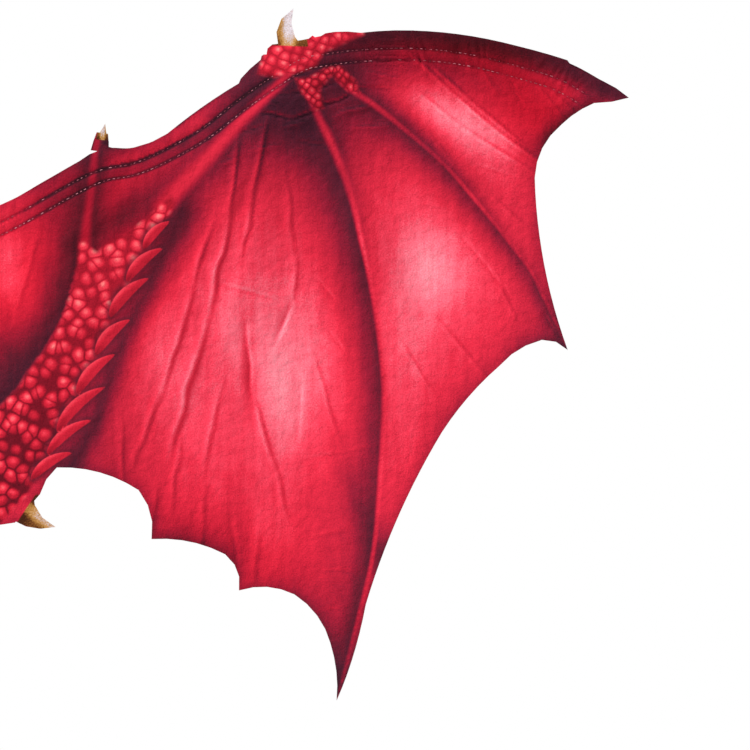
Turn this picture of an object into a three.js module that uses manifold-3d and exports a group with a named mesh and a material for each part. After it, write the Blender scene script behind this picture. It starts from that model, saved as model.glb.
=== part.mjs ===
// Costume dragon wings: one printed cloth, spread and hanging, with two arm loops of flat elastic behind it.
// Millimetres, +Z up. The origin is the middle of the top edge at the centre back, the printed face looks
// along -Y and the arm loops hang on the +Y side. The cloth is the same on the left and on the right.

import * as THREE from "three";
import Module from "manifold-3d";
import { mergeVertices } from "three/addons/utils/BufferGeometryUtils.js";

const wasm = await Module();
wasm.setup();

// Cloth
const halfSpan = 600; // centre back to the outer wing tip
const wingHeight = 406; // top of the wrist down to the lowest wing point
const clothThickness = 1.2;
const hemDepth = 17.5; // the top edge is folded to the back by this much
const knobHeight = 4; // the hem's back layer also covers knobs up to this height
const clawLength = 22; // the wrist claw's length
const clothCell = 17; // mesh step over the cloth
const edgeStep = 9; // mesh step along a bowed edge
const mergeDistance = 1e-4; // corners closer than this are one

// Tail
const tailHalfWidth = 64;
const tailLength = 142; // from the back panel's lower edge to the root of the horn
const hornLength = 40;
const hornBow = 0.05; // how far the horn's sides bow outward, as a share of its length
const hornLean = 7; // how far the horn's point hangs to the left

// Folds of the hanging cloth
const foldDepth = 6;
const foldWidth = 26;
const wingSweep = 20; // how far the wing tips lie behind the centre back
const calmWidth = 125; // the hem is flat this far each side of the middle, where the loops are sewn on
const calmHeight = 36;
const calmFade = 60; // over this length the folds grow to their full depth

// Arm loops
const strapWidth = 22;
const strapThickness = 1.5;
const strapHang = 317; // top edge of the cloth down to the loop's lowest point
const loopSpread = 94; // how far the middle of a loop's two ends lies from the centre back
const strapEndSpacing = 24; // between the middles of the two ends
const loopWidth = 84;
const loopDepth = 26; // how far behind the hem the loop hangs
const strapSteps = 64;
const sewnAlong = [0.12, 0.5, 0.9]; // points of a sewn end, as shares of hemDepth
const seatGap = 0.3;

// The top edge from the middle to the wing tip. across is a share of halfSpan, up of wingHeight, and bow is
// how far the stretch that ends here bows outward, as a share of its length. The hem passes by the knobs.
const leadingEdge = [
  { across: 0, up: 0, bow: 0 },
  { across: 0.207, up: 0, bow: 0 },
  { across: 0.365, up: 0.081, bow: -0.04 },
  { across: 0.456, up: 0.157, bow: -0.025 },
  { across: 0.475, up: 0.168, bow: 0 },
  { across: 0.5, up: 0.167, bow: -0.1 },
  { across: 0.534, up: 0.188, bow: -0.05 },
  { across: 0.606, up: 0.263, bow: 0.02 },
  { across: 0.608, up: 0.27, bow: 0, knob: true },
  { across: 0.628, up: 0.298, bow: 0.03 },
  { across: 0.629, up: 0.304, bow: 0, knob: true },
  { across: 0.634, up: 0.306, bow: 0.15, knob: true },
  { across: 0.635, up: 0.315, bow: 0, knob: true },
  { across: 0.646, up: 0.322, bow: 0.15 },
  { across: 0.676, up: 0.329, bow: 0 },
  { across: 0.685, up: 0.33, bow: 0.35, knob: true },
  { across: 0.703, up: 0.34, bow: 0.1 },
  { across: 0.729, up: 0.339, bow: 0.03 },
  { across: 0.781, up: 0.343, bow: 0.02 },
  { across: 0.888, up: 0.32, bow: 0.03 },
  { across: 0.938, up: 0.299, bow: 0.01 },
  { across: 0.947, up: 0.287, bow: -0.12, knob: true },
  { across: 0.973, up: 0.2685, bow: 0 },
  { across: 1, up: 0.243, bow: 0.04 },
];

// The scalloped lower edge from the wing tip back to the tail, with the same columns.
const trailingEdge = [
  { across: 0.965, up: 0.235, bow: 0.04 },
  { across: 0.932, up: 0.203, bow: -0.05 },
  { across: 0.905, up: 0.124, bow: -0.11 },
  { across: 0.938, up: -0.134, bow: -0.04 },
  { across: 0.912, up: -0.119, bow: -0.12 },
  { across: 0.869, up: -0.158, bow: -0.08 },
  { across: 0.811, up: -0.257, bow: -0.035 },
  { across: 0.734, up: -0.514, bow: -0.032 },
  { across: 0.705, up: -0.657, bow: 0.027 },
  { across: 0.693, up: -0.55, bow: -0.06 },
  { across: 0.662, up: -0.499, bow: -0.07 },
  { across: 0.606, up: -0.493, bow: -0.1 },
  { across: 0.592, up: -0.439, bow: -0.145 },
  { across: 0.518, up: -0.416, bow: -0.07 },
  { across: 0.505, up: -0.343, bow: -0.11 },
  { across: 0.423, up: -0.309, bow: -0.08 },
  { across: 0.406, up: -0.349, bow: -0.08 },
  { across: 0.381, up: -0.391, bow: 0 },
  { across: 0.351, up: -0.394, bow: 0.04 },
  { across: 0.285, up: -0.4, bow: 0 },
  { across: 0.25, up: -0.395, bow: 0.03 },
  { across: 0.205, up: -0.38, bow: 0.03 },
  { across: 0.139, up: -0.394, bow: -0.02 },
  { across: 0.106, up: -0.43, bow: 0.05 },
];

// The tail's edge with its three spikes. across is a share of tailHalfWidth, down of tailLength.
const tailEdge = [
  { across: 1, down: 0.08, bow: 0 },
  { across: 0.975, down: 0.155, bow: 0 },
  { across: 1.03, down: 0.33, bow: -0.04 },
  { across: 0.72, down: 0.305, bow: 0 },
  { across: 0.69, down: 0.46, bow: 0.04 },
  { across: 0.76, down: 0.59, bow: -0.04 },
  { across: 0.59, down: 0.575, bow: 0 },
  { across: 0.44, down: 0.7, bow: 0 },
  { across: 0.56, down: 0.825, bow: -0.04 },
  { across: 0.37, down: 0.812, bow: 0 },
  { across: 0.26, down: 0.845, bow: 0 },
  { across: 0.145, down: 1, bow: -0.03 },
];

// Claws cut out of the same cloth: the middle of the root, the width and length as shares of clawLength,
// the angle from straight up, how far the two sides bow outward as shares of their length, and how wide the
// end is as a share of the width.
const claws = [
  { across: 0.4665, up: 0.164, width: 0.5, length: 0.46, angle: 8, left: 0.02, right: 0.02, end: 0.62 },
  { across: 0.4705, up: 0.178, width: 0.28, length: 0.45, angle: 4, left: 0.1, right: -0.04, end: 0 },
  { across: 0.659, up: 0.318, width: 0.7, length: 1.05, angle: 3, left: 0.2, right: -0.15, end: 0 },
  { across: 0.39, up: -0.366, width: 1, length: 1.04, angle: 124, left: -0.16, right: 0.11, end: 0 },
];

// Long soft folds, each a ridge along a line. Places are shares as above, spread is a share of foldWidth and
// rise of foldDepth, with + towards the viewer.
const folds = [
  { across: 0.672, up: 0.291, toAcross: 0.533, toUp: 0.088, spread: 0.8, rise: 0.8 },
  { across: 0.662, up: 0.263, toAcross: 0.729, toUp: 0.03, spread: 0.8, rise: 0.9 },
  { across: 0.729, up: 0.03, toAcross: 0.745, toUp: -0.5, spread: 0.8, rise: 0.9 },
  { across: 0.691, up: 0.291, toAcross: 0.816, toUp: 0.139, spread: 0.8, rise: 0.8 },
  { across: 0.816, up: 0.139, toAcross: 0.938, toUp: -0.134, spread: 0.8, rise: 0.8 },
  { across: 0.46, up: 0.14, toAcross: 0.44, toUp: -0.05, spread: 1, rise: 0.7 },
  { across: 0.62, up: 0.2, toAcross: 0.538, toUp: -0.17, spread: 0.7, rise: 0.6 },
  { across: 0.645, up: 0.2, toAcross: 0.567, toUp: -0.17, spread: 0.6, rise: 0.55 },
  { across: 0.655, up: 0.12, toAcross: 0.6, toUp: -0.36, spread: 0.8, rise: 0.5 },
  { across: 0.52, up: 0, toAcross: 0.47, toUp: -0.26, spread: 0.8, rise: 0.5 },
  { across: 0.7, up: -0.1, toAcross: 0.665, toUp: -0.45, spread: 1, rise: -0.5 },
  { across: 0.68, up: 0.13, toAcross: 0.62, toUp: -0.4, spread: 3.2, rise: -1.4 },
  { across: 0.79, up: 0.1, toAcross: 0.8, toUp: -0.22, spread: 2.6, rise: -1.2 },
  { across: 0.86, up: 0.26, toAcross: 0.89, toUp: 0.02, spread: 2, rise: -0.8 },
  { across: 0.36, up: -0.02, toAcross: 0.33, toUp: -0.34, spread: 1.6, rise: -0.8 },
  { across: 0.41, up: -0.08, toAcross: 0.36, toUp: -0.36, spread: 1.4, rise: 0.9 },
  { across: 0.24, up: -0.06, toAcross: 0.25, toUp: -0.38, spread: 1, rise: 0.6 },
  { across: 0.16, up: -0.12, toAcross: 0.13, toUp: -0.42, spread: 1.1, rise: 0.55 },
  { across: 0.05, up: -0.14, toAcross: 0.07, toUp: -0.62, spread: 1, rise: 0.7 },
];

// The arm loops. aside is a share of loopWidth, measured to the right from the loop's left end, down is a
// share of strapHang and back of loopDepth. turn is 0 where the strap is flat to the viewer and 90 where it
// stands edge on.
const rightLoop = [
  { aside: 0.13, down: 0.51, back: 0.3, turn: 0 },
  { aside: 0.19, down: 0.71, back: 0.5, turn: 30 },
  { aside: 0.21, down: 0.84, back: 0.62, turn: 55 },
  { aside: 0.3, down: 0.915, back: 0.66, turn: 70 },
  { aside: 0.475, down: 0.978, back: 0.7, turn: 84 },
  { aside: 0.7, down: 0.997, back: 0.75, turn: 66 },
  { aside: 0.93, down: 0.968, back: 0.75, turn: 54 },
  { aside: 1.14, down: 0.89, back: 0.75, turn: 52 },
  { aside: 1.21, down: 0.78, back: 0.7, turn: 52 },
  { aside: 1.13, down: 0.675, back: 0.6, turn: 38 },
  { aside: 0.94, down: 0.52, back: 0.4, turn: 5 },
];
const leftLoop = [
  { aside: 0.13, down: 0.54, back: 0.3, turn: 25 },
  { aside: 0.04, down: 0.683, back: 0.45, turn: 42 },
  { aside: -0.17, down: 0.826, back: 0.6, turn: 64 },
  { aside: -0.155, down: 0.912, back: 0.68, turn: 82 },
  { aside: -0.03, down: 0.958, back: 0.72, turn: 84 },
  { aside: 0.12, down: 0.98, back: 0.75, turn: 66 },
  { aside: 0.4, down: 0.943, back: 0.85, turn: 56 },
  { aside: 0.55, down: 0.86, back: 0.9, turn: 54 },
  { aside: 0.58, down: 0.74, back: 0.85, turn: 48 },
  { aside: 0.565, down: 0.63, back: 0.75, turn: 40 },
  { aside: 0.51, down: 0.517, back: 0.55, turn: 20 },
];

// Points of a bowed edge, each stretch a shallow curve between two rows.
function bowedEdge(corners) {
  const points = [corners[0].clone()];
  for (let i = 1; i < corners.length; i += 1) {
    const start = corners[i - 1];
    const end = corners[i];
    const chord = end.clone().sub(start);
    const outward = new THREE.Vector2(-chord.y, chord.x);
    const steps = Math.abs(end.bow) > 0 ? Math.max(2, Math.round(chord.length() / edgeStep)) : 1;
    for (let s = 1; s <= steps; s += 1) {
      const t = s / steps;
      const bow = 4 * end.bow * t * (1 - t);
      points.push(start.clone().addScaledVector(chord, t).addScaledVector(outward, bow));
    }
  }
  return points;
}

function corner(x, z, bow) {
  const point = new THREE.Vector2(x, z);
  point.bow = bow;
  return point;
}

const leadingCorners = leadingEdge.map((row) => {
  const point = corner(row.across * halfSpan, row.up * wingHeight, row.bow);
  point.knob = row.knob;
  return point;
});
const trailingCorners = trailingEdge.map((row) => corner(row.across * halfSpan, row.up * wingHeight, row.bow));
const panelBottom = trailingCorners[trailingCorners.length - 1].y;
const tailCorners = tailEdge.map((row) =>
  corner(row.across * tailHalfWidth, panelBottom - row.down * tailLength, row.bow));
const hornTip = corner(0, panelBottom - tailLength - hornLength, hornBow);
const lowestPoint = hornTip.y;
const highestPoint = Math.max(...leadingCorners.map((point) => point.y)) + clawLength;

// The horn and the tail's end hang a little to the left.
function tailLean(z) {
  const share = THREE.MathUtils.clamp((panelBottom - tailLength / 2 - z) / (hornLength + tailLength / 2), 0, 1);
  return -hornLean * share * share;
}

function wholeOutline() {
  const right = bowedEdge([...leadingCorners, ...trailingCorners, ...tailCorners, hornTip]);
  const left = right.slice(1, -1).reverse().map((point) => new THREE.Vector2(-point.x, point.y));
  return [...right, ...left].map((point) => new THREE.Vector2(point.x + tailLean(point.y), point.y));
}

// One claw, with a root that reaches a little way into the cloth.
function clawOutline(claw, side) {
  const width = claw.width * clawLength;
  const length = claw.length * clawLength;
  const tipHalf = (claw.end * width) / 2;
  const sides = [
    corner(-width / 2, -clothThickness, 0),
    corner(-tipHalf, length, claw.left),
    corner(tipHalf, length, 0),
    corner(width / 2, -clothThickness, claw.right),
  ];
  const angle = -THREE.MathUtils.degToRad(claw.angle);
  const root = new THREE.Vector2(claw.across * halfSpan, claw.up * wingHeight);
  return bowedEdge(sides).map((point) => {
    const turned = point.rotateAround(new THREE.Vector2(), angle).add(root);
    return new THREE.Vector2(side * turned.x, turned.y);
  });
}

// The folded hem follows the top edge without its knobs, measured square to it. It starts a little outside,
// where the cloth's own outline then cuts it.
function hemOutline() {
  const right = bowedEdge(leadingCorners.filter((point) => !point.knob));
  const edge = [...right.slice(1).reverse().map((point) => new THREE.Vector2(-point.x, point.y)), ...right];
  const shifted = (distance) => edge.map((point, i) => {
    const before = edge[Math.max(i - 2, 0)];
    const after = edge[Math.min(i + 2, edge.length - 1)];
    const along = after.clone().sub(before).normalize();
    return new THREE.Vector2(point.x + along.y * distance, point.y - along.x * distance);
  });
  return [...shifted(-knobHeight), ...shifted(hemDepth).reverse()];
}

function ridge(x, z, fold) {
  const start = new THREE.Vector2(fold.across * halfSpan, fold.up * wingHeight);
  const line = new THREE.Vector2(fold.toAcross * halfSpan, fold.toUp * wingHeight).sub(start);
  const offset = new THREE.Vector2(x, z).sub(start);
  const t = THREE.MathUtils.clamp(offset.dot(line) / line.lengthSq(), 0, 1);
  const distance = offset.addScaledVector(line, -t).length() / (fold.spread * foldWidth);
  return fold.rise * foldDepth * Math.exp(-distance * distance);
}

// How far the printed face lies behind y = 0.
function faceDepth(x, z) {
  const out = Math.abs(x);
  const calm = Math.max((out - calmWidth) / calmFade, (-z - calmHeight) / calmFade);
  const ease = THREE.MathUtils.smoothstep(calm, 0, 1);
  const raised = folds.reduce((sum, fold) => sum + ridge(out, z, fold), 0);
  const sweep = wingSweep * (out / halfSpan) ** 2;
  return ease * (sweep - raised);
}

function toSolid(geometry) {
  geometry.deleteAttribute("normal");
  geometry.deleteAttribute("uv");
  const merged = mergeVertices(geometry, mergeDistance);
  const mesh = new wasm.Mesh({
    numProp: 3,
    vertProperties: new Float32Array(merged.attributes.position.array),
    triVerts: new Uint32Array(merged.index.array),
  });
  return new wasm.Manifold(mesh);
}

function toGeometry(solid) {
  const mesh = solid.getMesh();
  const geometry = new THREE.BufferGeometry();
  geometry.setAttribute("position", new THREE.BufferAttribute(new Float32Array(mesh.vertProperties), 3));
  geometry.setIndex(new THREE.BufferAttribute(new Uint32Array(mesh.triVerts), 1));
  return geometry;
}

// The body itself, without the loose slivers that a cut can leave.
function mainBody(solid) {
  return solid.decompose().reduce((largest, body) => (body.volume() > largest.volume() ? body : largest));
}

// A prism of an outline in X and Z, deep enough to cut through all the folds.
function prism(outline) {
  const reach = 2 * (wingSweep + foldDepth * folds.length);
  const shape = new THREE.Shape(outline);
  const geometry = new THREE.ExtrudeGeometry(shape, { depth: 2 * reach, bevelEnabled: false });
  geometry.rotateX(Math.PI / 2).translate(0, reach, 0);
  return toSolid(geometry);
}

// A wavy layer of cloth that follows the folds, from one depth behind the printed face to another.
function clothLayer(front, back, bottom) {
  const width = 2 * (halfSpan + clothCell);
  const height = highestPoint - bottom + clothCell;
  const columns = Math.round(width / clothCell);
  const rows = Math.round(height / clothCell);
  const geometry = new THREE.BoxGeometry(width, back - front, height, columns, 1, rows);
  geometry.translate(0, (front + back) / 2, bottom + height / 2);
  const place = geometry.attributes.position;
  for (let i = 0; i < place.count; i += 1) {
    place.setY(i, place.getY(i) + faceDepth(place.getX(i), place.getZ(i)));
  }
  return toSolid(geometry);
}

function wingCloth() {
  let cut = prism(wholeOutline());
  for (const side of [1, -1]) {
    for (const claw of claws) {
      const outline = clawOutline(claw, side);
      cut = cut.add(prism(outline));
    }
  }
  const bottom = lowestPoint - clothCell;
  const single = clothLayer(0, clothThickness, bottom);
  const hem = clothLayer(clothThickness / 2, 2 * clothThickness, bottom).intersect(prism(hemOutline()));
  return toGeometry(mainBody(single.add(hem).intersect(cut)));
}

// The path of a loop: flat against the back of the hem at both ends, and free in between.
function loopPath(rows, side) {
  const seat = 2 * clothThickness + seatGap + strapThickness / 2;
  const middle = side * loopSpread;
  const ends = [-strapEndSpacing / 2, strapEndSpacing / 2];
  const stations = [];
  const sewn = (x) => sewnAlong.map((share) => ({
    place: new THREE.Vector3(x, seat, -share * hemDepth),
    turn: 0,
  }));
  stations.push(...sewn(middle + ends[0]));
  for (const row of rows) {
    const x = middle + ends[0] + row.aside * loopWidth;
    const place = new THREE.Vector3(x, seat + row.back * loopDepth, -row.down * strapHang);
    stations.push({ place, turn: row.turn });
  }
  stations.push(...sewn(middle + ends[1]).reverse());
  return stations;
}

function armLoop(rows, side) {
  const stations = loopPath(rows, side);
  const curve = new THREE.CatmullRomCurve3(stations.map((station) => station.place), false, "centripetal");
  const geometry = new THREE.BoxGeometry(strapWidth, strapThickness, 1, 1, 1, strapSteps);
  const place = geometry.attributes.position;
  const last = stations.length - 1;
  for (let i = 0; i < place.count; i += 1) {
    const t = place.getZ(i) + 0.5;
    const whole = Math.min(Math.floor(t * last), last - 1);
    const turn = THREE.MathUtils.degToRad(
      THREE.MathUtils.lerp(stations[whole].turn, stations[whole + 1].turn, t * last - whole));
    const centre = curve.getPoint(t);
    const along = curve.getTangent(t);
    const flat = new THREE.Vector3(-along.z, 0, along.x).normalize();
    const across = flat.applyAxisAngle(along, turn);
    const normal = new THREE.Vector3().crossVectors(along, across).normalize();
    const point = centre.addScaledVector(across, place.getX(i)).addScaledVector(normal, place.getY(i));
    place.setXYZ(i, point.x, point.y, point.z);
  }
  return toGeometry(toSolid(geometry));
}

const printedCloth = new THREE.MeshStandardMaterial({ color: 0xd0203c, roughness: 0.75, metalness: 0 });
const blackElastic = new THREE.MeshStandardMaterial({ color: 0x141416, roughness: 0.9, metalness: 0 });

function piece(name, geometry, material) {
  const mesh = new THREE.Mesh(geometry, material);
  mesh.name = name;
  return mesh;
}

const group = new THREE.Group();
group.add(piece("wing_cloth", wingCloth(), printedCloth));
group.add(piece("arm_loop_right", armLoop(rightLoop, 1), blackElastic));
group.add(piece("arm_loop_left", armLoop(leftLoop, -1), blackElastic));

export default group;
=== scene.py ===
import math

import bpy
import numpy as np
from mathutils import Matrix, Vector
from mathutils.bvhtree import BVHTree
from mathutils.geometry import delaunay_2d_cdt
from mathutils.kdtree import KDTree


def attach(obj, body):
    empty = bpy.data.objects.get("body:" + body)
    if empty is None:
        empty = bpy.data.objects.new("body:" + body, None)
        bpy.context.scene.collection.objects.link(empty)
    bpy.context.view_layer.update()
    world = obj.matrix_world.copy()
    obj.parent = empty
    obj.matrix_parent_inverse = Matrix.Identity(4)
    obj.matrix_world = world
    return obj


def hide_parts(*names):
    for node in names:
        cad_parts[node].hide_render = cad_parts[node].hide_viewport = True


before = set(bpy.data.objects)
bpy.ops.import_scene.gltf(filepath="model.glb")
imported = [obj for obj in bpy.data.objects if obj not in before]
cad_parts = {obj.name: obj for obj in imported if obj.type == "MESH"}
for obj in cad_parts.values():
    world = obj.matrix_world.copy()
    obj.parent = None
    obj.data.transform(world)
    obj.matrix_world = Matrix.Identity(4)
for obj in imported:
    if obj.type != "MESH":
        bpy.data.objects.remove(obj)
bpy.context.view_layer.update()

MM = 0.001
HALF_SPAN = 0.6
SHARE = HALF_SPAN / 100
CLOTH_THICKNESS = 0.9 * MM
HEM_THICKNESS = 1.0 * MM
HEM_GAP = 0.12 * MM
EDGE_STEP = 1.5 * MM
FINE_STEP = 1.5 * MM
BACK_STEP = 5.0 * MM

# Camera: the middle of its view at the cloth, its distance and the width that it sees there
VIEW_MIDDLE = (0.446, -0.0696)
VIEW_DISTANCE = 4.0
VIEW_WIDTH = 0.4527
SENSOR_WIDTH = 36.0

# The top edge without knobs and claws, and the upper row of hem stitches
TOP_EDGE = [
    (0, 0), (20.7, 0), (29, 2.3), (36.5, 5.5), (41, 8), (45.6, 10.6), (47.5, 11.35), (50, 11.4), (53.4, 12.7),
    (57, 15.1), (60.6, 17.8), (62.8, 20), (64.6, 21.6), (67.6, 22.4), (70.3, 22.9), (72.9, 23), (78.1, 23.3),
    (84, 22.7), (88.8, 21.7), (93.8, 20.1), (97.3, 18.2), (100, 16.5),
]
STITCH_ROW = [
    (0, -1.75), (20.7, -1.75), (28.5, 0.6), (36.5, 3.7), (45.6, 8.6), (50, 9.7), (53.4, 11.2), (57, 13.3),
    (60.6, 16.1), (64.8, 19.0), (67.1, 20.3), (69.1, 20.7), (72.8, 21.2), (78.1, 21.4), (84, 20.8), (91, 19.0),
    (93.6, 18.0), (95.5, 16.9),
]
ROW_SPACING = 7 * MM
HEM_BELOW_ROW = 7.6 * MM

# Printed bones: the line of each, and its half width in mm, tone and strength evenly along it
BONES = [
    dict(name="finger_b", half=(2.0, 1.8, 1.3, 1.1, 1.2, 1.0, 1.0, 1.0, 0.9),
         tone=(0.64, 0.68, 0.62, 0.62, 0.8, 0.64, 0.62, 0.6, 0.56),
         strength=(0.5, 0.75, 0.55, 0.45, 0.65, 0.5, 0.45, 0.4, 0.3),
         line=[(70.6, 18.2), (72.2, 17.0), (74.6, 15.4), (78.2, 12.5), (81.6, 9.4), (85.3, 5.1), (87.9, 1.8),
               (90.0, -1.0), (91.2, -3.4), (93.6, -8.5)]),
    dict(name="finger_a", half=(2.0, 2.6, 2.2, 1.6, 1.3, 1.3, 1.4, 1.5, 1.4, 1.3, 1.1, 0.9),
         tone=(0.6, 0.68, 0.6, 0.84, 0.66, 0.64, 0.64, 0.74, 0.66, 0.62, 0.58, 0.55),
         strength=(0.4, 0.85, 0.75, 0.8, 0.7, 0.65, 0.7, 0.8, 0.75, 0.7, 0.5, 0.3),
         line=[(66.8, 18.0), (67.6, 16.6), (68.6, 14.5), (69.9, 11.8), (71.4, 8.0), (72.3, 5.0), (72.9, 2.2),
               (73.9, -2.5), (74.8, -8.6), (75.2, -14.6), (74.7, -24.2), (74.0, -30.3), (72.4, -36.9),
               (70.5, -44.4)]),
    dict(name="arm", half=(2.4, 3.0, 3.6, 4.0, 4.4, 5.0, 5.8), tone=(0.6, 0.66, 0.66, 0.66, 0.68, 0.68, 0.66),
         strength=(0.7, 0.9, 0.9, 0.9, 0.9, 0.9, 0.9),
         line=[(67.6, 20.0), (65.9, 18.8), (64.4, 17.4), (62.9, 16.0), (60.2, 13.3), (57.5, 10.3), (54.6, 7.2),
               (53.0, 5.4)]),
    dict(name="thumb", half=(2.4, 2.4, 2.6, 2.8, 3.6), tone=(0.5, 0.47, 0.47, 0.48, 0.52),
         strength=(0.85, 0.85, 0.85, 0.85, 0.9),
         line=[(46.6, 13.5), (46.2, 11.1), (45.9, 8.1), (45.5, 5.2), (45.3, 3.4), (45.1, 1.4)]),
    dict(name="shoulder", half=(1.2, 1.6, 1.8, 1.6, 1.2), tone=(0.6, 0.66, 0.66, 0.6, 0.5),
         strength=(0.6, 0.75, 0.8, 0.6, 0.3),
         line=[(14.2, -11.4), (12.4, -11.9), (10.4, -13.1), (8.4, -16.2), (7.4, -18.7), (7.6, -22.0),
               (9.1, -24.4)]),
]

# Dark printed bands beside a line, and painted shade below the stitch rows (row_shade). Columns: line, power
# of the fade, widths in mm and depths on the left of its direction, and the same on the right. Widths and
# depths are spread from the line's start to its end.
SHADES = [
    ("finger_b", 1.6, (10, 7, 4, 4), (0.5, 0.46, 0.2, 0.12), (14, 11, 8.5, 6), (0.52, 0.48, 0.45, 0.3)),
    ("finger_a", 1.6, (9, 6, 3, 2, 2, 2), (0.5, 0.26, 0.06, 0.06, 0.06, 0.06),
     (24, 21, 16, 15, 13, 9), (0.58, 0.6, 0.52, 0.48, 0.46, 0.38)),
    ("arm", 1.6, (16, 15, 13, 13), (0.58, 0.56, 0.55, 0.54), (13, 9, 8, 10), (0.55, 0.5, 0.46, 0.46)),
    ("thumb", 1.6, (9, 10, 10, 12), (0.5, 0.55, 0.55, 0.58), (9, 11, 12, 12), (0.5, 0.55, 0.58, 0.58)),
    ("blade_tips", 1.6, (13, 9, 6.5, 6), (0.58, 0.52, 0.45, 0.45), (13,), (0.55, 0.52, 0.5, 0.5)),
    ("forearm_edge", 1.6, (8,), (0.3,), (13, 15, 18, 20), (0.55, 0.6, 0.62, 0.64)),
    ("root_edge", 1.6, (6,), (0.2,), (15, 15, 14, 14), (0.62, 0.62, 0.62, 0.6)),
    ("body_edge", 1.6, (23, 22, 20, 16), (0.64, 0.64, 0.62, 0.5), (4,), (0.3, 0.25, 0.2, 0.2)),
    ("tip_fold", 1.6, (17, 19, 17), (0.12, 0.14, 0.1), (2,), (0.12, 0.14, 0.1)),
    ("top_strip", 3.2, (5,), (0.66, 0.66, 0.64, 0.62), (13, 13.5, 13.5, 12), (0.64, 0.66, 0.62, 0.54)),
    ("top_strip", 1.6, (5,), (0,), (24, 22, 18, 14), (0.3, 0.28, 0.26, 0.3)),
    ("arm_strip", 2.6, (5,), (0.4,), (8, 9, 15), (0.1, 0.04, 0.62)),
    # row_shade is painted shade below the stitch rows, where the hem's rounded strip shades the cloth
    ("row_shade", 1.6, (2, 2, 2, 5), (0, 0, 0.05, 0.3), (8, 10, 12, 7), (0.06, 0.22, 0.42, 0.44)),
]
SHADE_LINES = {
    "blade_tips": [(54.6, 4.4), (53.5, 1.8), (52.0, -1.5), (50.1, -5.8), (48.6, -9.6), (47.5, -13.2),
                   (46.2, -16.8), (44.2, -20.4)],
    "forearm_edge": [(44.3, 1.6), (44.3, -0.2), (43.7, -2.7), (43.2, -4.5), (42.2, -6.9), (40.9, -9.1),
                     (39.6, -10.7), (38.4, -12.6), (36.5, -14.6), (35.1, -15.4)],
    "root_edge": [(35.1, -15.8), (33.2, -17.1), (31.5, -18.4), (27.6, -17.4), (23.3, -15.8), (20.1, -14.0),
                  (16.4, -12.2), (13.6, -11.6)],
    "top_strip": [(71.5, 23.6), (74, 23.4), (78.1, 23.7), (84, 23.1), (88.8, 22.1), (93.8, 20.5), (97.5, 18.6),
                  (100.3, 17.0)],
    "arm_strip": [(47.5, 11.5), (50, 11.6), (53.4, 12.9), (57, 15.3), (60.6, 18.0), (63.2, 20.8)],
    # Painted shade along the stitch rows
    "row_shade": [(30, 0.8), (36.5, 3.4), (41, 6.2), (46, 9.0), (50, 10.0), (53.4, 11.4), (57, 13.4),
                  (60.6, 16.2), (64.8, 19.0), (67.1, 20.2)],
    "tip_fold": [(80.1, 19.6), (83.6, 16.6), (86.4, 14.2), (89.8, 11.2)],
    "body_edge": [(11.6, 1), (11.6, -4), (11.4, -8), (11.6, -11)],
}

# Pale parts of the print, and darker ones with a negative gain. Columns: middle across and up, radii along
# and across, angle of the long axis from +X, gain in tone
GLOWS = [
    (60.5, -9, 17, 7.5, -76, 0.12), (64, -9.5, 11, 4.4, -80, 0.1), (65, -14.5, 6.5, 2.2, -84, 0.12),
    (60.2, -7.5, 5, 2.2, -78, 0.08), (80, 0.4, 7.5, 5, -72, 0.15), (79.6, -1, 4.6, 2.8, -72, 0.16),
    (77.6, -12, 10, 2.8, -88, 0.14), (84.8, 13.4, 6.6, 2.9, -42, 0.26), (79.6, 15.6, 4.6, 1.8, -38, 0.16),
    (53.3, -11.1, 10, 3.2, -66, 0.13), (83.5, -1, 6, 2.4, -60, 0.08), (68.6, -9.6, 11, 3.8, -84, 0.15),
    (78.9, -8.6, 7, 4.4, -60, 0.1), (63.9, -28.6, 4, 3.6, 0, 0.12), (37.5, -2.5, 5, 2.6, -70, 0.14),
    (38.5, 1.5, 6, 3.2, -60, 0.12), (28.6, -3.7, 7, 4.2, -70, 0.22), (66.2, 14.6, 6.8, 4.2, -14, -0.5),
    (71.6, 19.9, 5.2, 2.2, -8, -0.36), (80.9, 19.4, 6, 1.6, -8, -0.14), (61.5, 9, 5, 3, 40, -0.12),
    (49.2, 4.6, 5, 1.8, 40, -0.42), (43.5, 5.4, 4, 3, -40, -0.2), (41, -1.5, 5, 2.2, -68, -0.16),
    (94.4, 14.4, 5, 1.4, 42, -0.4), (92.4, -9.5, 5, 4, -60, -0.18), (69.3, -26.3, 8, 3.4, -84, -0.12),
    (60.5, -27, 6, 1.2, -85, -0.1), (71.2, -44, 8, 3.4, -80, -0.25), (55.5, -29, 8, 3, -10, -0.2),
    (67, -34, 6, 4, -50, -0.12), (36.5, -11, 6, 5, -50, -0.3), (22, -9, 6, 4, 10, -0.14),
    (9.8, -25.5, 3, 2, 0, -0.35), (61.6, -11.5, 5, 0.8, -88, -0.14), (46.8, -19, 3.5, 2.4, -60, -0.12),
    (74.9, -29.8, 10, 1.4, -68, -0.3), (14, -3.9, 5, 0.8, 0, -0.5), (13, -7.5, 3.6, 0.7, 0, -0.5),
    (14.5, -11.2, 5, 1, -8, -0.5), (88.4, 17.2, 7, 2.2, -28, -0.1), (82.5, -16, 9, 5, -60, -0.08),
]
BAND_STRENGTH = 1.5
SPOT_STRENGTH = 1.6
DARKEST = 0.1
EDGE_SHADE = 0.2
EDGE_SHADE_WIDTH = 5 * MM
MEMBRANE_TONE = 0.61

# The tail's end hangs a little to the left, and its print with it
LEAN = 7 * MM
LEAN_START = -245.6 * MM
LEAN_LENGTH = 111 * MM

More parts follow.
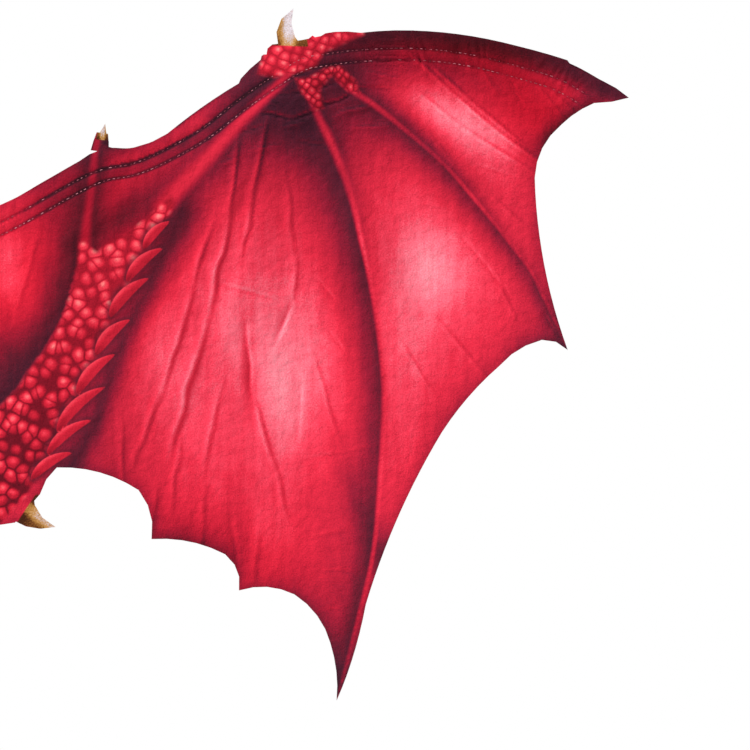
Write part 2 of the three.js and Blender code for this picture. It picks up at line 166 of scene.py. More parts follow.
# How saturated the red is: 0 is pinkish and 1 strong and warm. The columns are the same.
WARM = [
    (90.5, 15.2, 7, 4, -35, 0.9), (82, 21.5, 12, 2.6, -5, 0.9), (46, 6, 9, 6, 30, 0.5),
    (48.5, 0, 5, 6, -55, 0.3), (20, -5, 9, 7, 0, 0.9), (36, -4, 6, 9, -60, 0.6), (3, -25, 8, 30, 0, 0.3),
    (58, -30, 14, 6, -20, 0.5),
]

# Zones of scales: their outline in shares
FOREARM = [
    (44.4, 1.8), (45.2, 2.0), (46.4, 0.9), (47.0, 1.7), (49.3, 2.8), (51.2, 4.4), (54.0, 6.9), (54.4, 5.4),
    (51.6, 1.6), (50.1, -1.6), (48.4, -5.2), (46.9, -9.0), (45.2, -12.9), (43.2, -16.7), (41.6, -19.9),
    (39.6, -23.6), (36.0, -27.5), (30.0, -27.5), (30.0, -20.0), (35.1, -15.6), (36.5, -14.6), (38.4, -12.6),
    (39.6, -10.7), (40.9, -9.1), (42.2, -6.9), (43.2, -4.5), (43.7, -2.7), (44.1, -1.5),
]
ARM_ROOT = [
    (36.0, -15.2), (33.2, -17.1), (31.5, -18.6), (27.6, -17.7), (23.3, -16.0), (20.1, -14.2), (16.4, -12.5),
    (13.6, -12.2), (11.4, -13.3), (9.6, -15.4), (8.3, -17.8), (7.7, -20.1), (8.2, -23.3), (11.0, -25.4),
    (18.0, -27.5), (36.5, -28.0),
]
BODY_HALF = 10.9
# Pitch in mm of the body's columns and rows of scales at the top, at the arms and at the tail's end
BODY_SCALE_WIDTH = (11.5, 10.5, 6.6)
BODY_SCALE_HEIGHT = (19.0, 16.5, 9.0)
ROOT_SCALE = (6.6, 15.5)
ROOT_ROW_ANGLE = -9
WRIST = [
    (62.8, 20.5), (62.2, 18.6), (64.2, 18.2), (67.2, 18.8), (68.6, 19.4), (69.4, 20.8), (71.4, 21.7),
    (73.4, 22.6), (73.6, 24.2), (64.0, 24.2),
]
FINGER_ROOTS = [
    (66.0, 18.4), (66.8, 16.6), (68.4, 14.9), (69.4, 15.2), (69.0, 17.2), (70.0, 18.3), (71.4, 16.9),
    (73.2, 16.4), (72.6, 18.2), (71.0, 19.8), (69.4, 19.6), (67.6, 18.6),
]

# Blades along the forearm. Columns: base across and up, tip across and up, half width in mm
BLADES = [
    (51, 1.1, 53.7, 3.9, 3), (49.3, -2.2, 53, 1.2, 3.4), (47.6, -5.8, 51.6, -1.8, 3.6),
    (46.2, -9.6, 49.7, -6, 3.6), (44.3, -13.5, 48.2, -9.5, 3.6), (42.3, -17.3, 47.2, -12.8, 3.6),
    (41.3, -19.6, 45.9, -16.1, 3.2), (39.7, -22.1, 43.9, -19.4, 3.2),
]
BLADE_BULGE = 0.384

# Printed claws and spikes. Columns: root across and up, angle from straight up, length and half width in mm,
# change of tone
CLAWS = [
    (65.7, 21.6, 3, 26, 9.5, 0), (46.9, 12.1, 4, 13, 3.6, -0.12), (39.3, -25, 124, 22, 9, -0.24),
    (9.1, -33.4, 153, 23, 7.5, -0.2), (7, -40.2, 161, 18, 6, -0.2), (4.8, -45.9, 157, 17, 5.6, -0.2),
    (0, -52.2, 180, 44, 10, -0.2),
]

# The spine's plates: half width at each plate's tip, and how far below the top edge it ends
SPINE_TIPS = [0.8, -9.5, -19.0, -30.8, -39.0, -46.0, -51.6, -60]
SPINE_HALF = [2.8, 2.8, 2.95, 3.0, 2.6, 1.95, 1.29, 0.87]
PLATE_SLOPE = 3.3

# Creases of the cloth. Columns: start across and up, end across and up, half width in mm, and height in mm
# towards the viewer
CREASES = [
    (60.4, 12.4, 59.4, 4, 1.5, 1.2), (59.6, 4.6, 57.4, -5.6, 1.8, 1.3), (57.5, -5, 53.2, -20.4, 2, 1.2),
    (63.6, 14.2, 61.6, 6, 1.5, 1.3), (61.8, 6.6, 60.6, 0, 1.8, 1.1), (57.9, 4.4, 55.9, -2.4, 1.8, 1),
    (56.1, -1.6, 52.4, -14.4, 1.9, 1), (52.6, -13, 49.8, -21, 1.8, 0.8), (66.3, 0.4, 65.8, -4.4, 1.5, 0.7),
    (65.9, -3.8, 64.1, -8.6, 1.6, -0.8), (65.2, 8.8, 66, 0, 1.8, 0.6), (61.2, -6, 61.9, -14.8, 1.7, -0.9),
    (61.9, -14, 64.1, -21, 1.7, 0.9), (64, -20, 65.4, -26.5, 1.6, 0.6),
    (58.8, -12.4, 56.7, -21.6, 1.8, 0.8), (58.6, -2.5, 64.2, -4.1, 1.6, -0.5),
    (68, -9.6, 70.7, -19, 1.6, 0.6), (66.9, -12, 66.4, -19, 1.5, -0.45), (69.4, -7, 71.2, -9.4, 1.3, -0.5),
    (68.2, -1.8, 70.6, -4.6, 1.4, -0.5), (77.6, 21, 82.3, 16.6, 1.5, 1), (82, 16.9, 86.6, 13, 1.4, 1),
    (86.2, 13.3, 91.2, 9.6, 1.5, 1), (80, 19.6, 83.8, 16.2, 1.4, 1), (83.5, 16.5, 89.6, 11.3, 1.4, 0.9),
    (78.6, 17, 82.8, 13.5, 1.4, 0.6), (82.4, 13.8, 90.6, 8.6, 1.5, 0.7), (84.6, 20, 86.6, 16.8, 1.2, 0.5),
    (87.6, 19, 89.2, 15.4, 1.2, -0.4), (90.4, 18, 93.4, 14.2, 1.2, 0.5), (91.8, 17.4, 94.6, 14.8, 1.2, 0.5),
    (79.8, 12.6, 82.2, 9.6, 1.4, 0.4), (84.4, 9.6, 88.2, 8.4, 1.3, -0.45), (86, 6.4, 89.6, 3.2, 1.5, 0.45),
    (88, 5.4, 91.6, 5.8, 1.3, -0.4), (57, -22, 56.6, -31, 1.8, 0.6), (59.5, -24, 60.5, -32, 1.8, -0.5),
    (52.2, -22, 51.6, -27, 1.6, 0.6), (62.5, -27, 62, -33, 1.8, 0.6), (54.5, -18, 53.5, -26, 1.8, 0.7),
    (48.6, -15.8, 48.8, -23, 1.5, 0.7), (66.5, -28.5, 72, -27.5, 1.5, -0.45),
    (67, -20.5, 73.5, -19, 1.5, -0.4), (67.8, -31.4, 72.6, -31.8, 1.4, -0.4),
    (68, -36, 71.6, -35, 1.4, -0.4), (86.5, -1.5, 88.5, -6.5, 1.5, 0.5), (82.5, 3, 88.5, -4.5, 1.4, -0.5),
    (80.5, -6, 86, -12.5, 1.6, 0.5), (76.6, -8, 80.4, -14, 1.5, 0.4), (91.2, -5.4, 93, -8, 1.2, -0.5),
    (24.2, -3, 20.6, -12, 2, 0.6), (28, -5, 26.4, -14.5, 2, 0.6), (17, -2.5, 16.4, -18, 1.6, -0.4),
    (16.4, -17, 14.8, -25, 1.6, -0.4), (33, 1, 30.5, -10, 1.8, 0.6), (40.5, 3.5, 38, -6, 1.8, 0.5),
    (41.2, -12.4, 42, -19, 1.2, 0.6),
]
# Short creases across the dark cloth below the wrist
WRIST_CREASES = [
    (62.6, 14.8, 66.2, 14, 1.2, -1.2), (65.9, 13.9, 68.6, 15.2, 1.2, -1.2),
    (65.2, 13.2, 67.6, 13.8, 1.1, 0.9), (69, 15.7, 70.8, 15.9, 1.1, -1.2),
    (70.6, 15.8, 72, 16.6, 1.1, -1.1), (66.8, 16.6, 69.4, 15.4, 1, 0.8), (64.6, 16.6, 68, 16.9, 1, -0.8),
    (68, 16.9, 70.4, 17.7, 1, -0.9), (70.2, 14.4, 74.4, 15.9, 1.1, 0.8), (72, 17.2, 76.4, 17.6, 1, -0.7),
    (60.6, 12.8, 63.4, 13.4, 1.1, -0.8), (61.6, 11, 65, 11.4, 1.1, 0.6), (63.4, 16, 65, 15.2, 1, 0.7),
    (66.4, 11.8, 70.4, 11.4, 1.1, -0.6), (71.8, 13.4, 76, 13.6, 1.1, 0.6),
    (58.4, 9.6, 60.6, 10.4, 1.1, 0.6), (69.6, 19, 72.6, 18.2, 1, 0.8), (73.4, 18.9, 77, 18.4, 1, 0.6),
]
CREASE_SCALE = 1.3
# Painted highlight on each crease's ridge and painted shadow on one side of it, as the key light would show
# them
CREASE_PAINTED_HIGHLIGHT = 0.07
CREASE_PAINTED_SHADOW = 0.13
CREASE_WANDER = 1.2 * MM
PUCKER_HEIGHT = 0.95 * MM
PUCKER_PITCH = 5.2 * MM
PUCKER_REACH = 11 * MM
# Puckers are low on the inner part of the hem, and full from here outwards, in shares
PUCKERS_FULL = (62, 68)
HEM_RUN = 0.7
GROOVE_DEPTH = 0.45 * MM
GROOVE_HALF = 1.1 * MM
HEM_PILLOW = 0.9 * MM
FAN_CENTRE = (66.5, 19.0)
FAN_RIDGES = 9.0
FAN_HEIGHT = 0.9 * MM
FOLD_ROOM = 1.3 * MM
FOLD_ROOM_FADE = 9 * MM

STITCH_PITCH = 3.0 * MM
STITCH_LENGTH = 2.2 * MM
STITCH_RADIUS = 0.24 * MM


# Lines and fields

def smooth_line(points, step):
    """A smooth line through points given in shares, in metres, with a place about every step."""
    p = np.array(points, float) * SHARE
    p = np.vstack([2 * p[0] - p[1], p, 2 * p[-1] - p[-2]])
    places = []
    for a, b, c, d in zip(p[:-3], p[1:-2], p[2:-1], p[3:]):
        count = max(1, math.ceil(np.linalg.norm(c - b) / step))
        for t in np.arange(count) / count:
            places.append(0.5 * (2 * b + (c - a) * t + (2 * a - 5 * b + 4 * c - d) * t**2
                                 + (3 * b - a - 3 * c + d) * t**3))
    return np.array(places + [p[-2]])


def keep(where, kept, found):
    """Takes over the found values at some places."""
    for old, new in zip(kept, found):
        old[where] = np.broadcast_to(new, old.shape)[where]


def beside(x, z, line):
    """How far each place lies from the line, plus on the line's left, and where along it, from 0 to 1."""
    steps = np.diff(line, axis=0)
    lengths = np.hypot(steps[:, 0], steps[:, 1])
    run = np.concatenate([[0], np.cumsum(lengths)])
    nearest = np.full(x.shape, np.inf)
    side = np.ones(x.shape)
    along = np.zeros(x.shape)
    for start, step, length, before in zip(line[:-1], steps, lengths, run):
        u = x - start[0]
        v = z - start[1]
        t = np.clip((u * step[0] + v * step[1]) / length**2, 0, 1)
        distance = np.hypot(u - t * step[0], v - t * step[1])
        on_side = np.where(step[0] * v - step[1] * u > 0, 1.0, -1.0)
        keep(distance < nearest, (nearest, side, along), (distance, on_side, (before + t * length) / run[-1]))
    return nearest * side, along


def inside(x, z, outline):
    """True for each place that lies inside the closed outline."""
    crossings = np.zeros(x.shape, int)
    following = np.roll(outline, -1, axis=0)
    for (ax, az), (bx, bz) in zip(outline, following):
        between = (az > z) != (bz > z)
        if az != bz:
            crossings += between & (x < ax + (z - az) * (bx - ax) / (bz - az))
    return crossings % 2 == 1


def into_zone(x, z, corners):
    """How far inside a zone each place lies, in metres, and less than 0 outside it."""
    outline = np.array(corners, float) * SHARE
    distance, _ = beside(x, z, np.vstack([outline, outline[:1]]))
    return np.where(inside(x, z, outline), 1.0, -1.0) * np.abs(distance)


def spread_over(values, along):
    """A value for each place from a few values spaced evenly along a line."""
    return np.interp(along, np.linspace(0, 1, len(values)), values)


def glow(x, z, spot):
    """A soft oval spot, 1 in its middle."""
    across, up, long_radius, short_radius, degrees, _ = spot
    angle = math.radians(degrees)
    u = x / SHARE - across
    v = z / SHARE - up
    long = (u * math.cos(angle) + v * math.sin(angle)) / long_radius
    short = (v * math.cos(angle) - u * math.sin(angle)) / short_radius
    return np.exp(-(long**2 + short**2))


def between(values, i, j, s, t):
    """The value between four neighbours of a grid."""
    low = values[i, j] * (1 - s) + values[i + 1, j] * s
    high = values[i, j + 1] * (1 - s) + values[i + 1, j + 1] * s
    return low * (1 - t) + high * t


def lumps(x, z, cell, seed):
    """Smooth noise from -1 to 1 with lumps about one cell wide."""
    values = np.random.default_rng(seed).uniform(-1, 1, (512, 512))
    u = np.asarray(x) / cell + 256.5
    v = np.asarray(z) / cell + 256.5
    i = np.floor(u).astype(int) % 511
    j = np.floor(v).astype(int) % 511
    s = u - np.floor(u)
    t = v - np.floor(v)
    return between(values, i, j, s * s * (3 - 2 * s), t * t * (3 - 2 * t))


# The outline and the depth of the printed face, from the CAD cloth

def welded(node):
    """The node's corners without repeats, and its triangles."""
    mesh = node.data
    mesh.calc_loop_triangles()
    places = np.empty(len(mesh.vertices) * 3)
    mesh.vertices.foreach_get("co", places)
    corners = np.empty(len(mesh.loop_triangles) * 3, int)
    mesh.loop_triangles.foreach_get("vertices", corners)
    rounded = np.round(places.reshape(-1, 3), 6)
    unique, index = np.unique(rounded, axis=0, return_inverse=True)
    return unique, index.ravel()[corners].reshape(-1, 3)


def printed_outline(places, triangles):
    """The edge of the printed face in order, as places in X and Z."""
    a, b, c = (places[triangles[:, k]] for k in range(3))
    normals = np.cross(b - a, c - a)
    normals /= np.linalg.norm(normals, axis=1)[:, None] + 1e-12
    facing = normals[:, 1] < -0.5
    owners = {}
    for number, triangle in enumerate(triangles.tolist()):
        for start, end in zip(triangle, triangle[1:] + triangle[:1]):
            owners.setdefault(frozenset((start, end)), []).append(number)
    for number in np.flatnonzero(~facing & (np.abs(normals[:, 1]) < 0.99)):
        triangle = triangles[number].tolist()
        sides = [owners[frozenset(pair)] for pair in zip(triangle, triangle[1:] + triangle[:1])]
        joined = sum(any(facing[other] for other in side if other != number) for side in sides)
        if joined >= 2:
            facing[number] = True
    front = triangles[facing]
    edges = {}
    for triangle in front.tolist():
        for start, end in zip(triangle, triangle[1:] + triangle[:1]):
            edges[(start, end)] = edges.get((start, end), 0) + 1
    onward = {}
    for start, end in edges:
        if (end, start) not in edges:
            onward.setdefault(start, []).append(end)
    loops = []
    while onward:
        walk = [next(iter(onward))]
        while walk[-1] in onward:
            following = onward[walk[-1]].pop()
            if not onward[walk[-1]]:
                del onward[walk[-1]]
            if following in walk:
                first = walk.index(following)
                loops.append(walk[first:])
                walk = walk[:first + 1]
            else:
                walk.append(following)
    longest = places[max(loops, key=len)][:, [0, 2]]
    top_middle = np.argmin(np.abs(longest[:, 0]) - longest[:, 1])
    return np.roll(longest, -top_middle, axis=0)


cloth_places, cloth_triangles = welded(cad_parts["wing_cloth"])
OUTLINE = printed_outline(cloth_places, cloth_triangles)
RIGHT_EDGE = OUTLINE[OUTLINE[:, 0] > -5 * MM]
EDGE_TOP = 96 * MM
CLOTH_TREE = BVHTree.FromPolygons([Vector(p) for p in cloth_places], cloth_triangles.tolist())

DEPTH_CELL = 6 * MM
DEPTH_REACH = (0.612, 0.37, 0.17)


def depth_grid():
    """The depth of the printed face on an even grid, with its facets smoothed out and its outside filled."""
    columns = np.arange(-DEPTH_REACH[0], DEPTH_REACH[0], DEPTH_CELL)
    rows = np.arange(-DEPTH_REACH[1], DEPTH_REACH[2], DEPTH_CELL)
    depth = np.full((len(columns), len(rows)), np.nan)
    for i, x in enumerate(columns):
        for j, z in enumerate(rows):
            place, normal, _, _ = CLOTH_TREE.ray_cast(Vector((x, -1, z)), Vector((0, 1, 0)))
            if place is not None and normal.y < -0.5:
                depth[i, j] = place.y
    for _ in range(60):
        empty = np.isnan(depth)
        if not empty.any():
            break
        padded = np.pad(depth, 1, constant_values=np.nan)
        beside_it = np.stack([padded[2:, 1:-1], padded[:-2, 1:-1], padded[1:-1, 2:], padded[1:-1, :-2]])
        known = (~np.isnan(beside_it)).sum(0)
        mean = np.nansum(beside_it, 0) / np.maximum(known, 1)
        depth = np.where(empty & (known > 0), mean, depth)
    depth = np.nan_to_num(depth)
    kernel = np.array([1, 4, 6, 4, 1]) / 16
    for _ in range(2):
        for axis in (0, 1):
            padded = np.pad(depth, [(2, 2) if k == axis else (0, 0) for k in (0, 1)], mode="edge")
            size = depth.shape[axis]
            depth = sum(w * np.take(padded, np.arange(size) + k, axis) for k, w in enumerate(kernel))
    return depth


DEPTH = depth_grid()


def main_depth(x, z):
    """The depth of the printed face with its main folds alone."""
    u = np.clip((x + DEPTH_REACH[0]) / DEPTH_CELL, 0, DEPTH.shape[0] - 1.001)
    v = np.clip((z + DEPTH_REACH[1]) / DEPTH_CELL, 0, DEPTH.shape[1] - 1.001)
    i = u.astype(int)
    j = v.astype(int)
    return between(DEPTH, i, j, u - i, v - j)


TOP_LINE = smooth_line(TOP_EDGE, 4 * MM)
ROW_LINE = smooth_line(STITCH_ROW, 4 * MM)


def beyond(line, distance):
    """The line moved to its right by a distance."""
    along = np.gradient(line, axis=0)
    along /= np.linalg.norm(along, axis=1)[:, None]
    return line + distance * np.column_stack([along[:, 1], -along[:, 0]])


LOWER_ROW = beyond(ROW_LINE, ROW_SPACING)
HEM_LINE = beyond(ROW_LINE, HEM_BELOW_ROW)


def creases_near(out, z):
    """For each crease the places near it, their distance, its fade towards its ends, half width and rise."""
    for *ends, half, rise in CREASES + WRIST_CREASES:
        line = np.array(ends).reshape(2, 2) * SHARE
        middle = line.mean(0)
        reach = np.linalg.norm(line[1] - line[0]) / 2 + 6 * half * MM
        near = (np.abs(out - middle[0]) < reach) & (np.abs(z - middle[1]) < reach)
        wander = CREASE_WANDER * lumps(out[near], z[near], 14 * MM, 5)
        distance, along = beside(out[near] + wander, z[near] - wander, line)
        yield near, distance, np.sin(np.pi * np.clip(along, 0.02, 0.98)) ** 0.6, half, rise * CREASE_SCALE


def crease_height(out, z):
    """Small folds towards the viewer, in metres: creases, puckers along the hem and the stitched grooves."""
    height = np.zeros(out.shape)
    for near, distance, fade, half, rise in creases_near(out, z):
        height[near] += rise * MM * fade * np.exp(-((distance / (half * MM)) ** 2))
    row, along = beside(out, z, ROW_LINE)
    hem_run = along * HEM_RUN
    pull = np.exp(-(np.abs((row + 1.5 * MM) / PUCKER_REACH) ** 3))
    busy = np.interp(out / SHARE, PUCKERS_FULL, (0.3, 1.0))
    phase = hem_run / PUCKER_PITCH * (1 + 0.18 * lumps(hem_run, 0 * row, 40 * MM, 3))
    slant = 0.35 * row / PUCKER_PITCH
    strength = 0.55 + 0.45 * lumps(hem_run, row, 16 * MM, 4)
    height += PUCKER_HEIGHT * pull * busy * strength * np.sin(2 * np.pi * (phase + slant))
    top, _ = beside(out, z, TOP_LINE)
    between = np.clip(row / np.maximum(row - top, 1 * MM), 0, 1)
    height += HEM_PILLOW * np.sin(np.pi * between)
    height += 0.5 * HEM_PILLOW * np.sin(np.pi * np.clip(-row / ROW_SPACING, 0, 1))
    for line in (ROW_LINE, LOWER_ROW):
        distance, _ = beside(out, z, line)
        height -= GROOVE_DEPTH * np.exp(-((distance / GROOVE_HALF) ** 2))
    height += 0.35 * MM * lumps(out, z, 9 * MM, 6) + 0.16 * MM * lumps(out, z, 4.2 * MM, 7)
    return height


def fan_height(out, z):
    """Broad folds that spread from the wrist over both sides of the cloth, in metres towards the viewer."""
    u = out - FAN_CENTRE[0] * SHARE
    v = z - FAN_CENTRE[1] * SHARE
    reach = np.hypot(u, v)
    row, _ = beside(out, z, ROW_LINE)
    fan = lumps(np.arctan2(v, u) * FAN_RIDGES, reach / (90 * MM), 1.0, 8)
    fan += 0.6 * lumps(np.arctan2(v, u) * 2.1 * FAN_RIDGES, reach / (60 * MM), 1.0, 9)
    open_cloth = np.clip((reach - 25 * MM) / (60 * MM), 0, 1) * np.clip((-row - 12 * MM) / (20 * MM), 0, 1)
    return FAN_HEIGHT * fan * open_cloth * np.clip((out - 38 * SHARE) / (10 * SHARE), 0.3, 1)


# The print: fields over the cloth that the materials read

def line_of(name):
    for bone in BONES:
        if bone["name"] == name:
            return smooth_line(bone["line"], 5 * MM)
    return smooth_line(SHADE_LINES[name], 5 * MM)


def print_and_shade_tone(x, z):
    """How light the print is, from 0 to 1, before its bones and scales, with painted shade at creases and
    stitch rows.
    """
    tone = np.full(x.shape, MEMBRANE_TONE)
    shade = np.ones(x.shape)
    for name, power, left_width, left_depth, right_width, right_depth in SHADES:
        distance, along = beside(x, z, line_of(name))
        left = distance > 0
        width = np.where(left, spread_over(left_width, along), spread_over(right_width, along)) * MM
        depth = np.where(left, spread_over(left_depth, along), spread_over(right_depth, along))
        shade *= 1 - BAND_STRENGTH * depth * np.exp(-(np.abs(distance / width) ** power))
    for *spot, gain in GLOWS:
        if gain > 0:
            tone += gain * glow(x, z, (*spot, gain))
        else:
            shade *= 1 + SPOT_STRENGTH * gain * glow(x, z, (*spot, gain))
    tone = DARKEST + (tone - DARKEST) * np.clip(shade, 0.02, 1)
    # Painted highlights on the crease ridges and painted shadows beside them
    for near, distance, fade, half, rise in creases_near(x, z):
        ridge = np.exp(-((distance / (0.6 * half * MM)) ** 2))
        shadow = np.exp(-(((distance - 1.25 * half * MM) / (0.6 * half * MM)) ** 2))
        tone[near] += rise * fade * (CREASE_PAINTED_HIGHLIGHT * ridge - CREASE_PAINTED_SHADOW * shadow)
    edge, _ = beside(x, z, RIGHT_EDGE)
    below = np.clip((EDGE_TOP - z) / (20 * MM), 0, 1)
    tone -= EDGE_SHADE * below * np.exp(-np.abs(edge) / EDGE_SHADE_WIDTH)
    return np.clip(tone, 0, 1)


def bone_field(x, z):
    """For each place its distance from the nearest bone in half widths, and that bone's tone and strength."""
    nearest = np.full(x.shape, 99.0)
    tone = np.zeros(x.shape)
    strength = np.zeros(x.shape)
    for bone in BONES:
        distance, along = beside(x, z, smooth_line(bone["line"], 5 * MM))
        distance = np.abs(distance) / (spread_over(bone["half"], along) * MM)
        found = (distance, spread_over(bone["tone"], along), spread_over(bone["strength"], along))
        keep(distance < nearest, (nearest, tone, strength), found)
    return np.column_stack([nearest, tone, strength])


def blade_field(x, z):
    """How far inside a blade each place lies in mm, its place across from -1 to 1, and along from 0 to 1."""
    best = np.full(x.shape, -99.0)
    across = np.zeros(x.shape)
    along = np.zeros(x.shape)
    for *ends, half_mm in BLADES:
        base = np.array(ends[:2]) * SHARE
        line = np.array(ends[2:]) * SHARE - base
        length = np.linalg.norm(line)
        u = ((x - base[0]) * line[0] + (z - base[1]) * line[1]) / length**2
        v = ((z - base[1]) * line[0] - (x - base[0]) * line[1]) / length
        held = np.clip(u, 0, 1)
        bulge = BLADE_BULGE * length * held * (1 - held)
        half = half_mm * MM * np.sin(np.pi * held**0.8) ** 0.7
        beyond_end = np.abs(u - held) * length
        depth = half - np.abs(v - bulge) - beyond_end
        found = (depth, np.clip((v - bulge) / (half_mm * MM), -1.5, 1.5), held)
        keep(depth > best, (best, across, along), found)
    return np.column_stack([np.maximum(best, -0.02) / MM, across, along])


def claw_field(x, z):
    """The same for the claws and spikes that are printed in horn colours, and the tone of each."""
    best = np.full(x.shape, -99.0)
    tone = np.zeros(x.shape)
    across = np.zeros(x.shape)
    along = np.zeros(x.shape)
    for root_x, root_z, degrees, length, half, claw_tone in CLAWS:
        angle = math.radians(degrees)
        up = (math.sin(angle), math.cos(angle))
        u = x - root_x * SHARE
        v = z - root_z * SHARE
        rise = u * up[0] + v * up[1]
        aside = u * up[1] - v * up[0]
        share = np.clip(rise / (length * MM), 0, 1)
        depth = np.minimum(half * MM * (1.25 - 0.7 * share) - np.abs(aside), rise + 0.6 * MM)
        depth = np.minimum(depth, length * MM * 1.3 - rise)
        found = (depth, np.clip(aside / (half * MM), -1.5, 1.5), share, claw_tone)
        keep(depth > best, (best, across, along, tone), found)
    return np.column_stack([np.maximum(best, -0.02) / MM, across, along]), tone


def spine_field(x, z):
    """Across the spine from -1 to 1, the plate's number with its fraction, and how far inside in mm."""
    tips = np.array(SPINE_TIPS) * SHARE
    half = np.interp(-z, -tips, np.array(SPINE_HALF) * SHARE)
    ridge = z - PLATE_SLOPE * np.abs(x)
    number = np.interp(-ridge, -tips, np.arange(len(tips)))
    return np.column_stack([x / half, number, (half - np.abs(x)) / MM])


def scale_rows(x, z):
    """Places in the rows of drop-shaped body scales and of the arm root's oval ones, in their pitches."""
    down = -z / SHARE
    wide = np.interp(down, (0, 28, 58), BODY_SCALE_WIDTH) * MM
    heights = np.linspace(-5, 62, 200)
    steps = SHARE * np.gradient(heights) / (np.interp(heights, (0, 28, 58), BODY_SCALE_HEIGHT) * MM)
    row = np.interp(down, heights, np.cumsum(steps))
    slope = math.radians(ROOT_ROW_ANGLE)
    along = x * math.cos(slope) - z * math.sin(slope)
    across = x * math.sin(slope) + z * math.cos(slope)
    drops = np.column_stack([x / wide, row, 0 * x])
    ovals = np.column_stack([along / (ROOT_SCALE[0] * MM), across / (ROOT_SCALE[1] * MM), 0 * x])
    return drops, ovals


def scale_zones(x, z):
    """How far inside the forearm, the arm's root and the body each place lies, in mm."""
    half = np.interp(-z / SHARE, (0, 20, 26, 60), (BODY_HALF, BODY_HALF, 14, 14))
    body = half * SHARE - x
    return np.column_stack([into_zone(x, z, FOREARM), into_zone(x, z, ARM_ROOT), body]) / MM


def print_fields(x, z):
    """Every field of the print, by name, at places of the flat cut."""
    x = x + LEAN * np.clip((LEAN_START - z) / LEAN_LENGTH, 0, 1) ** 2
    out = np.abs(x)
    warm = sum(spot[-1] * glow(out, z, spot) for spot in WARM)
    drops, ovals = scale_rows(out, z)
    claws, claw_tone = claw_field(out, z)
    return {
        "drops_at": drops,
        "ovals_at": ovals,
        "print_at": np.column_stack([out, z, np.zeros(x.shape)]) / MM,
        "print_and_shade_tone": print_and_shade_tone(out, z),
        "print_warmth": np.clip(warm, 0, 1),
        "bone_at": bone_field(out, z),
        "blade_at": blade_field(out, z),
        "claw_at": claws,
        "claw_tone": claw_tone,
        "spine_at": spine_field(x, z),
        "scale_zone": scale_zones(out, z),
        "wrist_zone": np.column_stack([into_zone(out, z, WRIST), into_zone(out, z, FINGER_ROOTS), 0 * x]) / MM,
        # Distances from both stitch rows and the strength of the dark line along them: the thread with painted
        # shade of its groove
        "seam_line_and_shade_at": np.column_stack([beside(out, z, ROW_LINE)[0] / MM, beside(out, z, LOWER_ROW)[0] / MM,
                                    0.06 + 0.16 * np.clip((74 - out / SHARE) / 8, 0, 1)]),
    }


def set_fields(mesh, fields):
    for name, values in fields.items():
        kind = "FLOAT_VECTOR" if values.ndim == 2 else "FLOAT"
        layer = mesh.attributes.new(name, kind, "POINT")
        layer.data.foreach_set("vector" if values.ndim == 2 else "value", values.astype(np.float32).ravel())


# Materials

def linear(code):
    """A colour written as six hex digits, as linear values for a shader."""
    parts = [int(code[k:k + 2], 16) / 255 for k in (0, 2, 4)]
    return tuple(p / 12.92 if p <= 0.04045 else ((p + 0.055) / 1.055) ** 2.4 for p in parts) + (1,)


